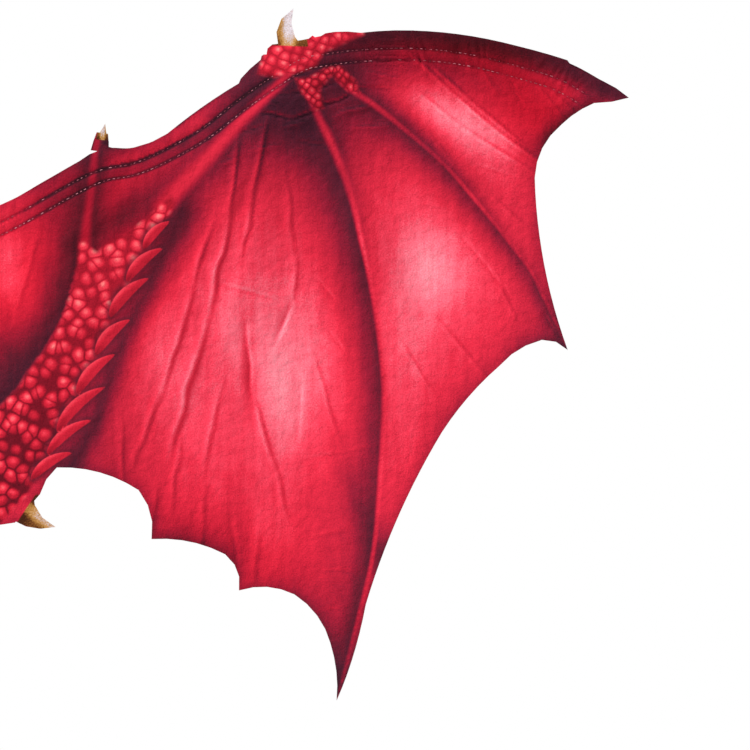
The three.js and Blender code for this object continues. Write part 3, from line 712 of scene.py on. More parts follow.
class Recipe:
    """Adds the nodes of one material, so that its formulas read as calls."""

    def __init__(self, name):
        self.material = bpy.data.materials.new(name)
        self.material.use_nodes = True
        self.tree = self.material.node_tree
        self.shader = self.tree.nodes["Principled BSDF"]

    def node(self, kind, inputs=(), **settings):
        made = self.tree.nodes.new(kind)
        for name, value in settings.items():
            setattr(made, name, value)
        for socket, value in dict(inputs).items():
            self.put(value, made.inputs[socket])
        return made

    def put(self, value, socket):
        if isinstance(value, bpy.types.NodeSocket):
            self.tree.links.new(value, socket)
        else:
            socket.default_value = value

    def math(self, operation, a, b=0.0, c=0.0, clamp=False):
        made = self.node("ShaderNodeMath", {0: a, 1: b, 2: c}, operation=operation, use_clamp=clamp)
        return made.outputs[0]

    def look(self, settings):
        for socket, value in settings.items():
            self.put(value, self.shader.inputs[socket])

    def times(self, a, b):
        return self.math("MULTIPLY", a, b)

    def plus(self, a, b):
        return self.math("ADD", a, b)

    def minus(self, a, b):
        return self.math("SUBTRACT", a, b)

    def scaled(self, value, factor, added):
        return self.math("MULTIPLY_ADD", value, factor, added)

    def ripple(self, value, noise, amount):
        """The value with a noise from 0 to 1 laid over it."""
        return self.scaled(self.minus(noise, 0.5), amount, value)

    def away(self, a, b):
        """The length of the sides a and b together."""
        return self.math("SQRT", self.plus(self.times(a, a), self.times(b, b)))

    def vectors(self, operation, a, b, c=(0.0, 0.0, 0.0)):
        return self.node("ShaderNodeVectorMath", {0: a, 1: b, 2: c}, operation=operation).outputs[0]

    def turned(self, at, angle):
        inputs = {"Vector": at, "Angle": angle}
        return self.node("ShaderNodeVectorRotate", inputs, rotation_type="Z_AXIS").outputs[0]

    def fade(self, value, low, high, to_low=0.0, to_high=1.0):
        """A smooth step of the value, held outside low and high."""
        inputs = {"Value": value, "From Min": low, "From Max": high, "To Min": to_low, "To Max": to_high}
        return self.node("ShaderNodeMapRange", inputs, interpolation_type="SMOOTHSTEP").outputs[0]

    def attribute(self, name, output="Vector"):
        return self.node("ShaderNodeAttribute", attribute_name=name).outputs[output]

    def parts(self, vector):
        return self.node("ShaderNodeSeparateXYZ", {0: vector}).outputs

    def vector(self, x, y, z=0.0):
        return self.node("ShaderNodeCombineXYZ", {0: x, 1: y, 2: z}).outputs[0]

    def blend(self, share, low, high):
        """A number between two numbers."""
        inputs = {0: share, 2: low, 3: high}
        return self.node("ShaderNodeMix", inputs, data_type="FLOAT", clamp_factor=True).outputs[0]

    def tint(self, share, low, high, mode="MIX"):
        """A colour between two colours."""
        inputs = {0: share, 6: low, 7: high}
        made = self.node("ShaderNodeMix", inputs, data_type="RGBA", blend_type=mode, clamp_factor=True)
        return made.outputs[2]

    def ramp(self, value, stops):
        made = self.node("ShaderNodeValToRGB", {0: value})
        elements = made.color_ramp.elements
        while len(elements) < len(stops):
            elements.new(0.5)
        for element, (place, code) in zip(elements, stops):
            element.position = place
            element.color = linear(code)
        return made.outputs[0]

    def noise(self, at, scale, detail=2.0, output=0):
        inputs = {"Vector": at, "Scale": scale, "Detail": detail}
        return self.node("ShaderNodeTexNoise", inputs, noise_dimensions="2D").outputs[output]

    def cells(self, at, randomness, feature="F1"):
        inputs = {"Vector": at, "Scale": 1.0, "Randomness": randomness}
        return self.node("ShaderNodeTexVoronoi", inputs, voronoi_dimensions="2D", feature=feature).outputs

    def bump(self, height, strength, distance, before=None):
        inputs = {"Height": height, "Strength": strength, "Distance": distance}
        if before is not None:
            inputs["Normal"] = before
        return self.node("ShaderNodeBump", inputs).outputs[0]


COOL_STOPS = [
    (0.0, "30121c"), (0.12, "431828"), (0.25, "65182b"), (0.38, "921831"), (0.52, "bc1f37"), (0.64, "da2840"),
    (0.76, "f04058"), (0.88, "fa6c80"), (1.0, "fb93a1"),
]
WARM_STOPS = [
    (0.0, "2a0a0f"), (0.12, "440912"), (0.25, "680b19"), (0.38, "940c20"), (0.52, "b90e25"), (0.64, "d3172d"),
    (0.76, "ec2d44"), (0.88, "fa5f70"), (1.0, "fb8a94"),
]
SCALE_STOPS = [
    (0.0, "330a14"), (0.15, "520d1a"), (0.3, "7d0f21"), (0.45, "ae172b"), (0.6, "d22338"), (0.75, "ec3d4f"),
    (0.9, "f7646a"), (1.0, "fb8582"),
]
HORN_STOPS = [
    (0.0, "42200f"), (0.2, "72431d"), (0.42, "a77639"), (0.62, "bf905d"), (0.8, "c9b4b0"), (1.0, "dad0d8"),
]
PLATE_STOPS = [
    (0.0, "34161a"), (0.2, "54291a"), (0.42, "8a4c26"), (0.62, "b0713c"), (0.8, "c79a78"), (1.0, "cdbec8"),
]


def scale_pattern(recipe, at, size, angle, randomness, spot_shift):
    """The tone of rows of scales: dark gaps, round bodies and a light spot on each."""
    turned = recipe.turned(at, math.radians(angle))
    moved = recipe.vectors("MULTIPLY_ADD", recipe.noise(turned, 0.05, 1.0, "Color"), (5.0, 5.0, 0.0), turned)
    sized = recipe.vectors("MULTIPLY", moved, (1 / size[0], 1 / size[1], 0.0))
    edge = recipe.cells(sized, randomness, "DISTANCE_TO_EDGE")[0]
    cell = recipe.cells(sized, randomness)
    spot = recipe.cells(recipe.vectors("ADD", sized, (*spot_shift, 0.0)), randomness)["Distance"]
    change = recipe.parts(cell["Color"])[0]
    radius = recipe.scaled(change, 0.2, 0.4)
    round_off = recipe.fade(recipe.minus(cell["Distance"], radius), 0.16, -0.2)
    body = recipe.times(recipe.fade(edge, -0.03, 0.13), round_off)
    light = recipe.times(recipe.fade(spot, 0.42, 0.0), recipe.scaled(change, 0.8, 0.4))
    return body, light, change


def row_pattern(recipe, rows, at, half, taper, spot_shift, seed):
    """The same for scales in staggered rows. half is a scale's half width and height in pitches."""
    warp = recipe.noise(at, 0.045 + 0.004 * seed, 2.0, "Color")
    centred = recipe.vectors("SUBTRACT", warp, (0.5, 0.5, 0.5))
    moved = recipe.vectors("MULTIPLY_ADD", centred, (0.9, 0.45, 0.0), rows)
    across, up, _ = recipe.parts(moved)
    found = []
    for shift in (0.0, 0.5):
        u = recipe.scaled(across, 0.5, shift)
        v = recipe.plus(up, shift)
        cell_u = recipe.math("ROUND", u)
        cell_v = recipe.math("ROUND", v)
        aside = recipe.times(recipe.minus(u, cell_u), 2 / half[0])
        rise = recipe.times(recipe.minus(v, cell_v), 1 / half[1])
        random = recipe.node("ShaderNodeTexWhiteNoise",
                             {"Vector": recipe.vector(cell_u, cell_v, shift + seed)}).outputs[0]
        narrow = recipe.times(recipe.scaled(rise, taper, 1.0), recipe.scaled(random, 0.3, 0.82))
        wide = recipe.math("DIVIDE", aside, recipe.math("MAXIMUM", narrow, 0.2))
        spot = recipe.away(recipe.plus(wide, spot_shift[0]), recipe.plus(rise, spot_shift[1]))
        found.append((recipe.away(wide, rise), spot, random))
    (nearest, lights, changes), (other, other_lights, other_changes) = found
    first = recipe.math("LESS_THAN", nearest, other)
    light = recipe.blend(first, other_lights, lights)
    change = recipe.blend(first, other_changes, changes)
    nearest = recipe.math("MINIMUM", nearest, other)
    return recipe.fade(nearest, 1.3, 0.66), recipe.fade(light, 0.8, 0.05), change


def print_colour(recipe):
    """The printed colour of the cloth at each place."""
    at = recipe.attribute("print_at")
    tone = recipe.attribute("print_and_shade_tone", "Fac")
    warmth = recipe.attribute("print_warmth", "Fac")
    mottle = recipe.noise(at, 0.11, 4.0)
    grain = recipe.noise(at, 1.1, 3.0)
    streaks = recipe.noise(recipe.vectors("MULTIPLY", at, (0.55, 0.05, 0.0)), 0.4, 3.0)
    tone = recipe.ripple(tone, mottle, 0.10)
    tone = recipe.ripple(tone, grain, 0.2)
    tone = recipe.ripple(tone, streaks, 0.10)
    bone = recipe.parts(recipe.attribute("bone_at"))
    core = recipe.times(recipe.fade(bone[0], 1.75, 0.1), bone[2])
    tone = recipe.blend(core, tone, bone[1])
    # A dark line along each stitch row: the thread's line with painted shade in the groove
    painted_seam_shade = recipe.parts(recipe.attribute("seam_line_and_shade_at"))
    for distance in (painted_seam_shade[0], painted_seam_shade[1]):
        away = recipe.math("ABSOLUTE", distance)
        painted_shade = recipe.times(recipe.fade(away, 1.8, 0.2), painted_seam_shade[2])
        tone = recipe.minus(tone, painted_shade)
    zone = recipe.parts(recipe.attribute("scale_zone"))
    colour = recipe.tint(warmth, recipe.ramp(tone, COOL_STOPS), recipe.ramp(tone, WARM_STOPS))
    wrist = recipe.parts(recipe.attribute("wrist_zone"))
    outside_root = recipe.fade(zone[1], 0.5, -2.5)
    drops = row_pattern(recipe, recipe.attribute("drops_at"), at, (0.41, 0.42), 0.34, (0.0, 0.3), 1)
    ovals = row_pattern(recipe, recipe.attribute("ovals_at"), at, (0.76, 0.195), 0.0, (-0.4, 0.3), 2)
    forearm = recipe.fade(zone[0], -0.5, 3.0)
    body = recipe.fade(zone[2], -1.5, 2.5)
    arm_scales = scale_pattern(recipe, at, (7.8, 7.8), 30, 0.85, (0.06, -0.10))
    wrist_scales = scale_pattern(recipe, at, (6.4, 5.6), 20, 0.5, (0.0, -0.08))
    finger_scales = scale_pattern(recipe, at, (4.2, 4.2), 35, 0.5, (0.0, -0.08))
    patterns = [
        (arm_scales, forearm, 0.34, 0.52, 0.3),
        (drops, recipe.times(body, outside_root), 0.27, 0.45, 0.32),
        (ovals, recipe.fade(zone[1], -1.0, 3.0), 0.29, 0.46, 0.33),
        (wrist_scales, recipe.fade(wrist[0], -0.5, 3.5), 0.42, 0.52, 0.3),
        (finger_scales, recipe.fade(wrist[1], -0.5, 3.5), 0.32, 0.48, 0.3),
    ]
    _, height, _ = recipe.parts(at)
    lower_arm = recipe.times(recipe.fade(height, 0.0, -135.0, -0.5, 1.0), forearm)
    lower_tail = recipe.times(recipe.fade(height, -150.0, -290.0, 0.0, 1.4), body)
    darker = recipe.plus(lower_arm, lower_tail)
    # Columns: pattern, share, tone in the gaps, plain tone and shine
    for (round_part, light, change), share, gap, plain, shine in patterns:
        scale = recipe.blend(round_part, gap, recipe.scaled(change, 0.14, plain))
        scale = recipe.scaled(light, shine, scale)
        scale = recipe.scaled(darker, -0.14, scale)
        scale = recipe.ripple(scale, grain, 0.16)
        colour = recipe.tint(share, colour, recipe.ramp(scale, SCALE_STOPS))

    blade = recipe.parts(recipe.attribute("blade_at"))
    blade_tone = recipe.scaled(recipe.fade(blade[1], -0.2, 1.0), 0.26, 0.5)
    blade_tone = recipe.scaled(recipe.fade(blade[2], 0.35, 0.0), -0.16, blade_tone)
    blade_tone = recipe.ripple(blade_tone, grain, 0.12)
    near_blade = recipe.fade(blade[0], -4.5, -0.2)
    colour = recipe.tint(recipe.times(near_blade, 0.7), colour, linear("541828"))
    colour = recipe.tint(recipe.fade(blade[0], -0.35, 0.35), colour, recipe.ramp(blade_tone, SCALE_STOPS))

    spine = recipe.parts(recipe.attribute("spine_at"))
    plate = recipe.math("FRACT", spine[1])
    aside = recipe.math("ABSOLUTE", spine[0])
    centre_width = recipe.times(recipe.minus(1.0, plate), 0.36)
    centre = recipe.fade(recipe.minus(aside, centre_width), 0.16, -0.14)
    centre = recipe.times(centre, recipe.fade(plate, 0.02, 0.3))
    plate_tone = recipe.times(recipe.fade(plate, 0.0, 0.65), recipe.fade(plate, 1.0, 0.9))
    plate_tone = recipe.times(plate_tone, recipe.fade(aside, 1.05, 0.45, 0.25, 1.0))
    plate_tone = recipe.scaled(plate_tone, 0.56, 0.05)
    plate_tone = recipe.ripple(plate_tone, streaks, 0.7)
    plate_tone = recipe.ripple(plate_tone, grain, 0.25)
    plate_tone = recipe.blend(centre, plate_tone, 0.93)
    plates = recipe.ramp(plate_tone, PLATE_STOPS)
    beside_spine = recipe.fade(spine[2], -2.5, 0.5)
    colour = recipe.tint(recipe.times(beside_spine, 0.6), colour, linear("4a1a24"))
    colour = recipe.tint(recipe.fade(spine[2], -0.4, 0.6), colour, plates)

    claw = recipe.parts(recipe.attribute("claw_at"))
    horn_tone = recipe.fade(claw[2], -0.1, 0.4, 0.05, 0.42)
    middle = recipe.fade(recipe.math("ABSOLUTE", recipe.plus(claw[1], 0.05)), 0.72, 0.15)
    horn_tone = recipe.scaled(middle, 0.52, horn_tone)
    horn_tone = recipe.plus(horn_tone, recipe.attribute("claw_tone", "Fac"))
    horn_tone = recipe.ripple(horn_tone, grain, 0.6)
    colour = recipe.tint(recipe.fade(claw[0], 0.0, 0.8), colour, recipe.ramp(horn_tone, HORN_STOPS))
    return colour


CRINKLE_ANGLE = 0.22


def finish_cloth(recipe, colour):
    at = recipe.attribute("print_at")
    recipe.look({"Base Color": colour, "Roughness": 0.72, "Specular IOR Level": 0.06, "Sheen Weight": 0.012,
                 "Sheen Roughness": 0.5, "Sheen Tint": linear("ff9aa5")})
    crinkles = 0.0
    for stretch, scale in (((1.0, 0.3, 0.0), 0.04), ((0.8, 0.6, 0.0), 0.05)):
        lain = recipe.vectors("MULTIPLY", recipe.turned(at, CRINKLE_ANGLE), stretch)
        ridge = recipe.math("ABSOLUTE", recipe.scaled(recipe.noise(lain, scale, 4.0), 2.0, -1.0))
        line = recipe.math("POWER", recipe.minus(1.0, ridge), 9.0)
        crinkles = recipe.plus(line, crinkles)
    calm = recipe.fade(recipe.noise(at, 0.02, 1.0), 0.35, 0.62, 0.25, 1.0)
    crinkles = recipe.times(crinkles, calm)
    wrinkles = recipe.noise(at, 0.2, 5.0)
    first = recipe.bump(crinkles, 0.2, 0.0006)
    second = recipe.bump(wrinkles, 0.6, 0.002, first)
    third = recipe.bump(recipe.noise(at, 1.1, 2.0), 0.5, 0.0006, second)
    recipe.look({"Normal": third})
    return recipe.material


def front_material():
    recipe = Recipe("printed_side")
    return finish_cloth(recipe, print_colour(recipe))


def back_material():
    """The plain pale side of the cloth, with a little of the print and its painted shade showing through."""
    recipe = Recipe("plain_side")
    tone = recipe.attribute("print_and_shade_tone", "Fac")
    at = recipe.attribute("print_at")
    zone = recipe.parts(recipe.attribute("scale_zone"))
    body, _, _ = scale_pattern(recipe, at, (9.0, 9.0), 30, 0.8, (0.06, -0.1))
    widest = recipe.math("MAXIMUM", recipe.math("MAXIMUM", zone[0], zone[1]), zone[2])
    scales = recipe.times(recipe.fade(widest, -1.0, 3.0), recipe.minus(1.0, body))
    tone = recipe.scaled(scales, -0.25, tone)
    mottle = recipe.noise(at, 0.6, 3.0)
    tone = recipe.ripple(tone, mottle, 0.15)
    colour = recipe.ramp(tone, [(0.0, "b08f96"), (0.35, "d0a4aa"), (0.7, "e6bcbf"), (1.0, "f3dcdc")])
    return finish_cloth(recipe, colour)


# Meshes

def added(name, data):
    item = bpy.data.objects.new(name, data)
    bpy.context.scene.collection.objects.link(item)
    return item


def new_piece(name, places, faces, materials):
    mesh = bpy.data.meshes.new(name)
    mesh.from_pydata([tuple(p) for p in places], [], faces)
    mesh.shade_smooth()
    piece = added(name, mesh)
    for material in materials:
        mesh.materials.append(material)
    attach(piece, "root")
    return piece


def tube(rings, around, first=0):
    """Faces between rings of places and over both ends."""
    faces = []
    for a in range(first, first + (rings - 1) * around, around):
        for s in range(around):
            after = (s + 1) % around
            faces.append([a + s, a + after, a + around + after, a + around + s])
    faces.append([first + s for s in reversed(range(around))])
    faces.append([first + (rings - 1) * around + s for s in range(around)])
    return faces


def divided(outline, step):
    """The closed outline with each of its stretches divided into steps."""
    places = []
    for a, b in zip(outline, np.roll(outline, -1, axis=0)):
        count = max(1, math.ceil(np.linalg.norm(b - a) / step))
        places += [a + (b - a) * t for t in np.arange(count) / count]
    return np.array(places)


def rows_inside(outline, step, keep, margin):
    """Places in staggered rows inside the outline, thinned where keep says so."""
    tree = KDTree(len(outline))
    for k, (x, z) in enumerate(outline):
        tree.insert((x, 0, z), k)
    tree.balance()
    ends = np.roll(outline, -1, axis=0)
    low, high = outline.min(0), outline.max(0)
    found = []
    heights = np.arange(low[1] + 0.3 * step, high[1], step * math.sqrt(3) / 2)
    for j, z in enumerate(heights):
        between = (outline[:, 1] > z) != (ends[:, 1] > z)
        a, b = outline[between], ends[between]
        crossings = np.sort(a[:, 0] + (z - a[:, 1]) * (b[:, 0] - a[:, 0]) / (b[:, 1] - a[:, 1]))
        first = math.floor(low[0] / step)
        index = np.arange(first, math.ceil(high[0] / step))
        xs = (index + 0.5 * (j % 2)) * step
        held = np.searchsorted(crossings, xs) % 2 == 1
        if keep is not None:
            coarse = (j % 2 == 0) & ((index + j // 2) % 2 == 0)
            held &= coarse | keep(xs, np.full(xs.shape, z))
        found += [(x, z) for x in xs[held] if tree.find((x, 0, z))[2] > margin]
    return np.array(found)


DETAIL_BELOW_ROW = 16 * MM
DETAIL_ABOVE_ROW = 20 * MM
DETAIL_BESIDE_BONE = 5 * MM
DETAIL_SPINE = 18 * MM
DETAIL_TAIL = (90 * MM, -200 * MM)
# Middle across and up in shares, and radius in mm
DETAIL_WRIST = (67, 17, 45)


def needs_detail(x, z):
    """True where the cloth carries fine creases or fine print."""
    out = np.abs(x)
    near = np.zeros(x.shape, bool)
    row, _ = beside(out, z, ROW_COARSE)
    near |= (row > -DETAIL_BELOW_ROW) & (row < DETAIL_ABOVE_ROW)
    for *ends, half, _ in CREASES + WRIST_CREASES:
        distance, _ = beside(out, z, np.array(ends).reshape(2, 2) * SHARE)
        near |= np.abs(distance) < 2.6 * half * MM
    for line in BONE_COARSE:
        distance, _ = beside(out, z, line)
        near |= np.abs(distance) < DETAIL_BESIDE_BONE
    near |= (out > 39.5 * SHARE) & (out < 54 * SHARE) & (blade_field(out, z)[:, 0] > -2)
    near |= (out < DETAIL_SPINE) | (np.abs(scale_zones(out, z)).min(1) < 4)
    near |= (out < DETAIL_TAIL[0]) & (z < DETAIL_TAIL[1])
    near |= np.hypot(out - DETAIL_WRIST[0] * SHARE, z - DETAIL_WRIST[1] * SHARE) < DETAIL_WRIST[2] * MM
    return near


ROW_COARSE = ROW_LINE[::4]
BONE_COARSE = [np.array(bone["line"]) * SHARE for bone in BONES]


def triangulated(rim, inner):
    """Triangles between a closed rim and inner places: the places, the triangles and the rim's numbers."""
    points = [Vector(p) for p in np.vstack([rim, inner])]
    count = len(rim)
    edges = [(k, (k + 1) % count) for k in range(count)]
    places, _, faces, origins, _, _ = delaunay_2d_cdt(points, edges, [], 1, 1e-7)
    numbers = {}
    for k, sources in enumerate(origins):
        for source in sources:
            numbers[source] = k
    return np.array([tuple(p) for p in places]), faces, [numbers[k] for k in range(count)]


def cloth_sides(x, z):
    """How far the two sides of the cloth lie behind y = 0. The plain side leaves room for the small folds."""
    out = np.abs(x)
    broad = main_depth(x, z) - fan_height(out, z)
    edge, _ = beside(out, z, RIGHT_EDGE)
    back = broad + CLOTH_THICKNESS + FOLD_ROOM * np.clip(np.abs(edge) / FOLD_ROOM_FADE, 0, 1)
    return np.minimum(broad - crease_height(out, z), back - 0.55 * CLOTH_THICKNESS), back


def make_cloth(front, back):
    rim = divided(OUTLINE, EDGE_STEP)
    sides = []
    for step, keep in ((FINE_STEP, needs_detail), (BACK_STEP, None)):
        inner = rows_inside(rim, step, keep, 0.6 * step)
        sides.append(triangulated(rim, inner))
    (front_flat, front_faces, front_rim), (back_flat, back_faces, back_rim) = sides
    offset = len(front_flat)
    flat = np.vstack([front_flat, back_flat])
    front_depth, back_depth = cloth_sides(flat[:, 0], flat[:, 1])
    depth = np.where(np.arange(len(flat)) < offset, front_depth, back_depth)
    faces = [list(face) for face in front_faces]
    faces += [[offset + k for k in reversed(face)] for face in back_faces]
    wall_start = len(faces)
    for k, start in enumerate(front_rim):
        end = front_rim[(k + 1) % len(front_rim)]
        faces.append([end, start, offset + back_rim[k], offset + back_rim[(k + 1) % len(back_rim)]])
    places = np.column_stack([flat[:, 0], depth, flat[:, 1]])
    piece = new_piece("printed_cloth", places, faces, [front, back])
    mesh = piece.data
    plain = np.zeros(len(faces), np.int32)
    plain[len(front_faces):wall_start] = 1
    mesh.polygons.foreach_set("material_index", plain)
    rim_numbers = np.full(len(places), -10)
    rim_numbers[front_rim] = np.arange(len(front_rim))
    rim_numbers[offset + np.array(back_rim)] = np.arange(len(back_rim))
    ends = np.empty(len(mesh.edges) * 2, int)
    mesh.edges.foreach_get("vertices", ends)
    pairs = rim_numbers[ends.reshape(-1, 2)]
    stride = np.abs(pairs[:, 0] - pairs[:, 1])
    sharp = (pairs.min(1) >= 0) & ((stride == 1) | (stride == len(front_rim) - 1))
    mesh.attributes.new("sharp_edge", "BOOLEAN", "EDGE").data.foreach_set("value", sharp)
    set_fields(mesh, print_fields(flat[:, 0], flat[:, 1]))
    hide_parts("wing_cloth")
    return piece


def mirrored_line(line):
    """The line of the right half with its mirror image, from the left tip to the right one."""
    left = line[:0:-1] * (-1, 1)
    return np.vstack([left, line])


def stretch_of(line, count):
    """The line with places evenly spaced along it."""
    run = np.concatenate([[0], np.cumsum(np.linalg.norm(np.diff(line, axis=0), axis=1))])
    even = np.linspace(0, run[-1], count)
    return np.column_stack([np.interp(even, run, line[:, 0]), np.interp(even, run, line[:, 1])])


def make_hem(material):
    """The strip of cloth that is folded to the back along the top edge, with its rounded fold."""
    count = 560
    top = stretch_of(mirrored_line(smooth_line(TOP_EDGE, 3 * MM)), count)
    bottom = mirrored_line(HEM_LINE)
    bottom = bottom[np.abs(bottom[:, 0]) < 0.9999]
    tree = KDTree(len(bottom))
    for k, (x, z) in enumerate(bottom):
        tree.insert((x, 0, z), k)
    tree.balance()
    nearest = np.array([bottom[tree.find((x, 0, z))[1]] for x, z in top])
    kernel = np.ones(9) / 9
    inward = nearest - top
    for axis in (0, 1):
        padded = np.pad(inward[:, axis], 4, mode="edge")
        inward[:, axis] = np.convolve(padded, kernel, "valid")
    tip_fade = np.clip((HALF_SPAN - np.abs(top[:, 0])) / (45 * MM), 0.25, 1)
    inward *= tip_fade[:, None]
    shares = [0.03, 0.05, 0.1, 0.2, 0.32, 0.45, 0.58, 0.7, 0.82, 0.93, 1.0]
    layers = []
    printed = []
    for behind, side_shares in ((0.0, shares[::-1]), (HEM_THICKNESS, shares)):
        for share in side_shares:
            place = top + inward * share
            base = main_depth(place[:, 0], place[:, 1])
            _, back = cloth_sides(place[:, 0], place[:, 1])
            round_off = math.sqrt(max(0.0, 1 - (1 - min(share / 0.1, 1)) ** 2))
            depth = np.maximum(back, base + CLOTH_THICKNESS) + HEM_GAP + behind * round_off
            layers.append(np.column_stack([place[:, 0], depth, place[:, 1]]))
            printed.append(top + inward * (0.06 + 0.2 * share))
    places = np.stack(layers, axis=1).reshape(-1, 3)
    printed = np.stack(printed, axis=1).reshape(-1, 2)
    piece = new_piece("folded_hem", places, tube(count, len(layers)), [material])
    set_fields(piece.data, print_fields(printed[:, 0], printed[:, 1]))
    return piece


def make_stitches(material):
    """Two rows of lock stitches on the printed side and on the back of the hem."""
    places = []
    faces = []
    sides = 6
    rings = [(-1.0, 0.25), (-0.72, 0.85), (0.0, 1.0), (0.72, 0.85), (1.0, 0.25)]
    for line in (ROW_LINE, LOWER_ROW):
        whole = mirrored_line(line)
        run = np.linalg.norm(np.diff(whole, axis=0), axis=1).sum()
        count = int(run / STITCH_PITCH)
        spots = stretch_of(whole, count * 2 + 1)
        for face_of_cloth in (-1, 1):
            middles = spots[1::2]
            directions = spots[2::2] - spots[:-1:2]
            directions = directions / np.linalg.norm(directions, axis=1)[:, None]
            front, back = cloth_sides(middles[:, 0], middles[:, 1])
            base = main_depth(middles[:, 0], middles[:, 1])
            if face_of_cloth < 0:
                depth = front - 0.25 * STITCH_RADIUS
            else:
                depth = np.maximum(back, base + CLOTH_THICKNESS) + HEM_GAP + HEM_THICKNESS
                depth = depth + 0.25 * STITCH_RADIUS
            for (x, z), y, (dx, dz) in zip(middles, depth, directions):
                start = len(places)
                for share, width in rings:
                    sag = 0.16 * MM * share**2 * -face_of_cloth
                    for s in range(sides):
                        angle = 2 * math.pi * s / sides
                        aside = STITCH_RADIUS * width * math.cos(angle)
                        out = STITCH_RADIUS * width * math.sin(angle)
                        length = 0.5 * STITCH_LENGTH * share
                        places.append((x + dx * length - dz * aside, y + sag + out,
                                       z + dz * length + dx * aside))
                faces += tube(len(rings), sides, start)
    return new_piece("hem_stitches", places, faces, [material])


def thread_material():
    recipe = Recipe("red_thread")
    at = recipe.node("ShaderNodeTexCoord").outputs["Object"]
    noise = recipe.node("ShaderNodeTexNoise", {"Vector": at, "Scale": 260.0, "Detail": 1.0}).outputs[0]
    colour = recipe.ramp(noise, [(0.35, "7c1a2c"), (0.5, "ac3a4e"), (0.65, "d27e8a")])
    recipe.look({"Base Color": colour, "Roughness": 0.6, "Sheen Weight": 0.2})
    return recipe.material


# Arm loops, in millimetres with the same columns as in the part: aside, down, back and turn
STRAP = dict(width=22, thickness=1.5, hang=317, spread=94, end_spacing=24, loop_width=84, loop_depth=26)
SEWN_ALONG = [0.12, 0.5, 0.9]
HEM_DEPTH_MM = 17.5
SEAT = 2 * 1.2 + 0.3 + 1.5 / 2
RIGHT_LOOP = [
    (0.13, 0.51, 0.3, 0), (0.19, 0.71, 0.5, 30), (0.21, 0.84, 0.62, 55), (0.3, 0.915, 0.66, 70),
    (0.475, 0.978, 0.7, 84), (0.7, 0.997, 0.75, 66), (0.93, 0.968, 0.75, 54), (1.14, 0.89, 0.75, 52),
    (1.21, 0.78, 0.7, 52), (1.13, 0.675, 0.6, 38), (0.94, 0.52, 0.4, 5),
]
LEFT_LOOP = [
    (0.13, 0.54, 0.3, 25), (0.04, 0.683, 0.45, 42), (-0.17, 0.826, 0.6, 64), (-0.155, 0.912, 0.68, 82),
    (-0.03, 0.958, 0.72, 84), (0.12, 0.98, 0.75, 66), (0.4, 0.943, 0.85, 56), (0.55, 0.86, 0.9, 54),
    (0.58, 0.74, 0.85, 48), (0.565, 0.63, 0.75, 40), (0.51, 0.517, 0.55, 20),
]


def centripetal(points, count):
    """Places and directions evenly over the spans of a centripetal curve through the points."""
    p = np.array(points, float)
    p = np.vstack([2 * p[0] - p[1], p, 2 * p[-1] - p[-2]])
    knots = np.concatenate([[0], np.cumsum(np.linalg.norm(np.diff(p, axis=0), axis=1) ** 0.5)])
    places = []
    last = len(points) - 1
    shares = np.linspace(0, last, count)
    for share in shares:
        k = min(int(share), last - 1) + 1
        t = knots[k] + (share - k + 1) * (knots[k + 1] - knots[k])
        a = [p[k - 1 + m] for m in range(4)]
        n = knots[k - 1:k + 3]
        for level in range(1, 4):
            a = [((n[m + level] - t) * a[m] + (t - n[m]) * a[m + 1]) / (n[m + level] - n[m])
                 for m in range(4 - level)]
        places.append(a[0])
    places = np.array(places)
    along = np.gradient(places, axis=0)
    return places, along / np.linalg.norm(along, axis=1)[:, None], shares


def make_loop(name, node, rows, side, material):
    middle = side * STRAP["spread"]
    ends = [middle - STRAP["end_spacing"] / 2, middle + STRAP["end_spacing"] / 2]
    points = [(ends[0], SEAT, -share * HEM_DEPTH_MM) for share in SEWN_ALONG]
    turns = [0.0] * len(SEWN_ALONG)
    for aside, down, back, turn in rows:
        points.append((ends[0] + aside * STRAP["loop_width"], SEAT + back * STRAP["loop_depth"],
                       -down * STRAP["hang"]))
        turns.append(turn)
    points += [(ends[1], SEAT, -share * HEM_DEPTH_MM) for share in reversed(SEWN_ALONG)]
    turns += [0.0] * len(SEWN_ALONG)
    count = 300
    centres, along, shares = centripetal(points, count)
    turn = np.radians(np.interp(shares, np.arange(len(turns)), turns))
    flat = np.column_stack([-along[:, 2], np.zeros(count), along[:, 0]])
    flat /= np.linalg.norm(flat, axis=1)[:, None]
    across = (flat * np.cos(turn)[:, None] + np.cross(along, flat) * np.sin(turn)[:, None])
    normal = np.cross(along, across)
    half = STRAP["width"] / 2
    thick = 0.5 * STRAP["thickness"]
    ribs = 11
    steps = 4 * ribs
    run = np.concatenate([[0], np.cumsum(np.linalg.norm(np.diff(centres, axis=0), axis=1))])
    profile = []
    for face in (1, -1):
        for k in range(steps + 1):
            share = (k / steps * 2 - 1) * face
            rib = 0.5 + 0.5 * math.cos(2 * math.pi * ribs * (share + 1) / 2)
            edge = math.sqrt(max(0.0, 1 - max(0.0, (abs(share) - 0.94) / 0.06) ** 2))
            profile.append((share * half, face * thick * (0.72 + 0.2 * rib) * (0.35 + 0.65 * edge)))
    places = []
    weave = []
    for k in range(count):
        for aside, out in profile:
            places.append((centres[k] + across[k] * aside + normal[k] * out) * MM)
            weave.append((aside, run[k], 0.0))
    faces = [face[::-1] for face in tube(count, len(profile))]
    piece = new_piece(name, places, faces, [material])
    set_fields(piece.data, {"weave_at": np.array(weave)})
    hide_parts(node)
    return piece


